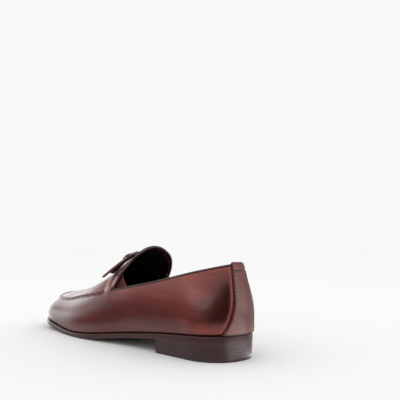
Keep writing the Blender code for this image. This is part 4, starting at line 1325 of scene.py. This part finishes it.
CAMERA_POINT = (-361.2, 356.5, 101.6)
CAMERA_FORWARD = (0.7568, -0.6500, 0.0691)
CAMERA_LENS, CAMERA_SENSOR, CAMERA_START = 53.12, 36.0, 0.01
FLOOR_HALF, FLOOR_TONE, FLOOR_ROUGHNESS = 30.0, 0.985, 0.9
WORLD_STRENGTH = 0.95
LAMP_PLACE, LAMP_TARGET = (0.0, -0.15, 1.6), (0.0, 0.0, 0.0)
LAMP_WIDTH, LAMP_LENGTH, LAMP_POWER = 1.4, 1.8, 1.0


def make_camera():
    data = bpy.data.cameras.new("camera")
    data.sensor_width = CAMERA_SENSOR
    data.lens = CAMERA_LENS
    data.clip_start = CAMERA_START
    camera = bpy.data.objects.new("camera", data)
    camera.location = to_world(CAMERA_POINT)
    camera.rotation_euler = world_direction(CAMERA_FORWARD).to_track_quat("-Z", "Y").to_euler()
    bpy.context.scene.collection.objects.link(camera)
    bpy.context.scene.camera = camera


def stage_object(name, mesh):
    item = bpy.data.objects.new(name, mesh)
    bpy.context.scene.collection.objects.link(item)
    return item


def make_floor():
    half = FLOOR_HALF
    corners = [(-half, -half, 0.0), (half, -half, 0.0), (half, half, 0.0), (-half, half, 0.0)]
    mesh = bpy.data.meshes.new("floor")
    mesh.from_pydata(corners, [], [(0, 1, 2, 3)])
    material, _, shader = new_material("floor_paint", FLOOR_ROUGHNESS)
    shader.inputs["Base Color"].default_value = (FLOOR_TONE, FLOOR_TONE, FLOOR_TONE, 1.0)
    shader.inputs["Specular IOR Level"].default_value = 0.0
    mesh.materials.append(material)
    stage_object("floor", mesh)


# Studio cards that only reflections see: bearings in degrees from the outer side, the rest in metres
CARD_STEPS, CARD_ROWS, CARD_CROWDING = 48, 30, 2.2
SHOE_HALF_WIDTH, SHOE_HALF_LENGTH = 0.045, 0.16
DARK_BEARINGS, DARK_TOPS = (-50.0, -20.0, 10.0, 50.0, 88.0), (0.17, 0.16, 0.13, 0.42, 0.46)

Card = namedtuple("Card", "name bearings fade near far top radiance rise")
CARDS = (
    Card("dark_card", (-50.0, 88.0), 5.0, (0.05, 0.001), 0.8, None, 0.01, (0.05, 0.25)),
    Card("bright_card_side", (-34.0, 36.0), 14.0, (0.8, 0.14), 0.82, 0.45, 2.0, (0.2, 0.3)),
    Card("bright_card_toe", (-112.0, -65.0), 9.0, (0.08, 0.001), 0.9, 0.55, 3.2, (0.008, 0.25)),
    Card("bright_card_toe_floor", (-112.0, -48.0), 10.0, (0.04, 0.0005), 0.16, 0.06, 3.6, (0.02, 0.3)),
    Card("bright_card_vamp", (-178.0, -103.0), 9.0, (0.08, 0.001), 0.9, 0.55, 1.9, (0.008, 0.25)),
    Card("dark_card_saddle", (-125.0, -30.0), 10.0, (0.045, 0.085), 0.05, 0.4, 0.25, (0.05, 0.25)),
    Card("bright_card_strap", (86.0, 124.0), 8.0, (0.06, 0.03), 0.6, 0.5, 2.6, (0.02, 0.25)),
    Card("bright_card_heel", (70.0, 124.0), 10.0, (0.002, 0.0004), 0.2, 0.012, 2.9, (0.02, 0.1)),
)


def card_paint(name, radiance):
    """Glow of one strength, clear where the card's cover field fades."""
    material = bpy.data.materials.new(name + "_paint")
    material.use_nodes = True
    material.cycles.emission_sampling = "NONE"
    tree = material.node_tree
    glow = add_node(tree, "ShaderNodeEmission", {"Strength": radiance})
    clear = add_node(tree, "ShaderNodeBsdfTransparent")
    shaders = {0: field(tree, "cover"), 1: clear.outputs[0], 2: glow.outputs[0]}
    mix = add_node(tree, "ShaderNodeMixShader", shaders)
    tree.links.new(mix.outputs[0], tree.nodes["Material Output"].inputs["Surface"])
    return material


def make_card(card):
    """Curved card round the shoe, faded at its edges, dark or glowing, seen by reflections alone."""
    angles = np.linspace(*card.bearings, CARD_STEPS + 1)[:, None]
    climb = np.linspace(0, 1, CARD_ROWS + 1)[None, :] ** CARD_CROWDING
    near_away, near_up = card.near
    away = near_away + (card.far - near_away) * climb
    top = np.interp(angles, DARK_BEARINGS, DARK_TOPS) if card.top is None else card.top
    turn = np.radians(angles)
    east = (SHOE_HALF_WIDTH + away) * np.cos(turn)
    north = (SHOE_HALF_LENGTH + away) * np.sin(turn)
    up = np.broadcast_to(near_up + (top - near_up) * climb, east.shape)
    points = np.stack([east, north, up], axis=-1).reshape(-1, 3)
    ends = smooth(np.minimum(angles - card.bearings[0], card.bearings[1] - angles), 0, card.fade)
    cover = ends * smooth(climb, 0, card.rise[0]) * smooth(1 - climb, 0, card.rise[1])
    numbers = np.arange(len(points)).reshape(CARD_STEPS + 1, CARD_ROWS + 1)
    mesh = bpy.data.meshes.new(card.name)
    mesh.from_pydata(points.tolist(), [], grid_faces(numbers).tolist())
    attribute = mesh.attributes.new("cover", "FLOAT", "POINT")
    attribute.data.foreach_set("value", cover.reshape(-1).astype(np.float32))
    mesh.materials.append(card_paint(card.name, card.radiance))
    item = stage_object(card.name, mesh)
    item.visible_camera = False
    item.visible_diffuse = False
    item.visible_shadow = False


def make_light():
    world = bpy.data.worlds.new("studio")
    bpy.context.scene.world = world
    world.use_nodes = True
    background = world.node_tree.nodes["Background"]
    background.inputs["Color"].default_value = (1.0, 1.0, 1.0, 1.0)
    background.inputs["Strength"].default_value = WORLD_STRENGTH
    data = bpy.data.lights.new("overhead", "AREA")
    data.shape = "RECTANGLE"
    data.size = LAMP_WIDTH
    data.size_y = LAMP_LENGTH
    data.energy = LAMP_POWER
    lamp = bpy.data.objects.new("overhead", data)
    lamp.location = LAMP_PLACE
    lamp.rotation_euler = (Vector(LAMP_TARGET) - Vector(LAMP_PLACE)).to_track_quat("-Z", "Y").to_euler()
    lamp.visible_camera = False
    bpy.context.scene.collection.objects.link(lamp)
    bpy.context.scene.view_settings.view_transform = "Standard"


make_camera()
make_floor()
for studio_card in CARDS:
    make_card(studio_card)
make_light()
make_upper()
make_piping()
make_gore("elastic_gore_lateral", "gore_lateral", OUTER)
make_gore("elastic_gore_medial", "gore_medial", INNER)
make_back_strap()
make_strap_stitches()
make_apron_stitches()
make_outsole()
make_heel()
make_insole()
make_bit_strap()
make_bit()

bpy.context.view_layer.update()
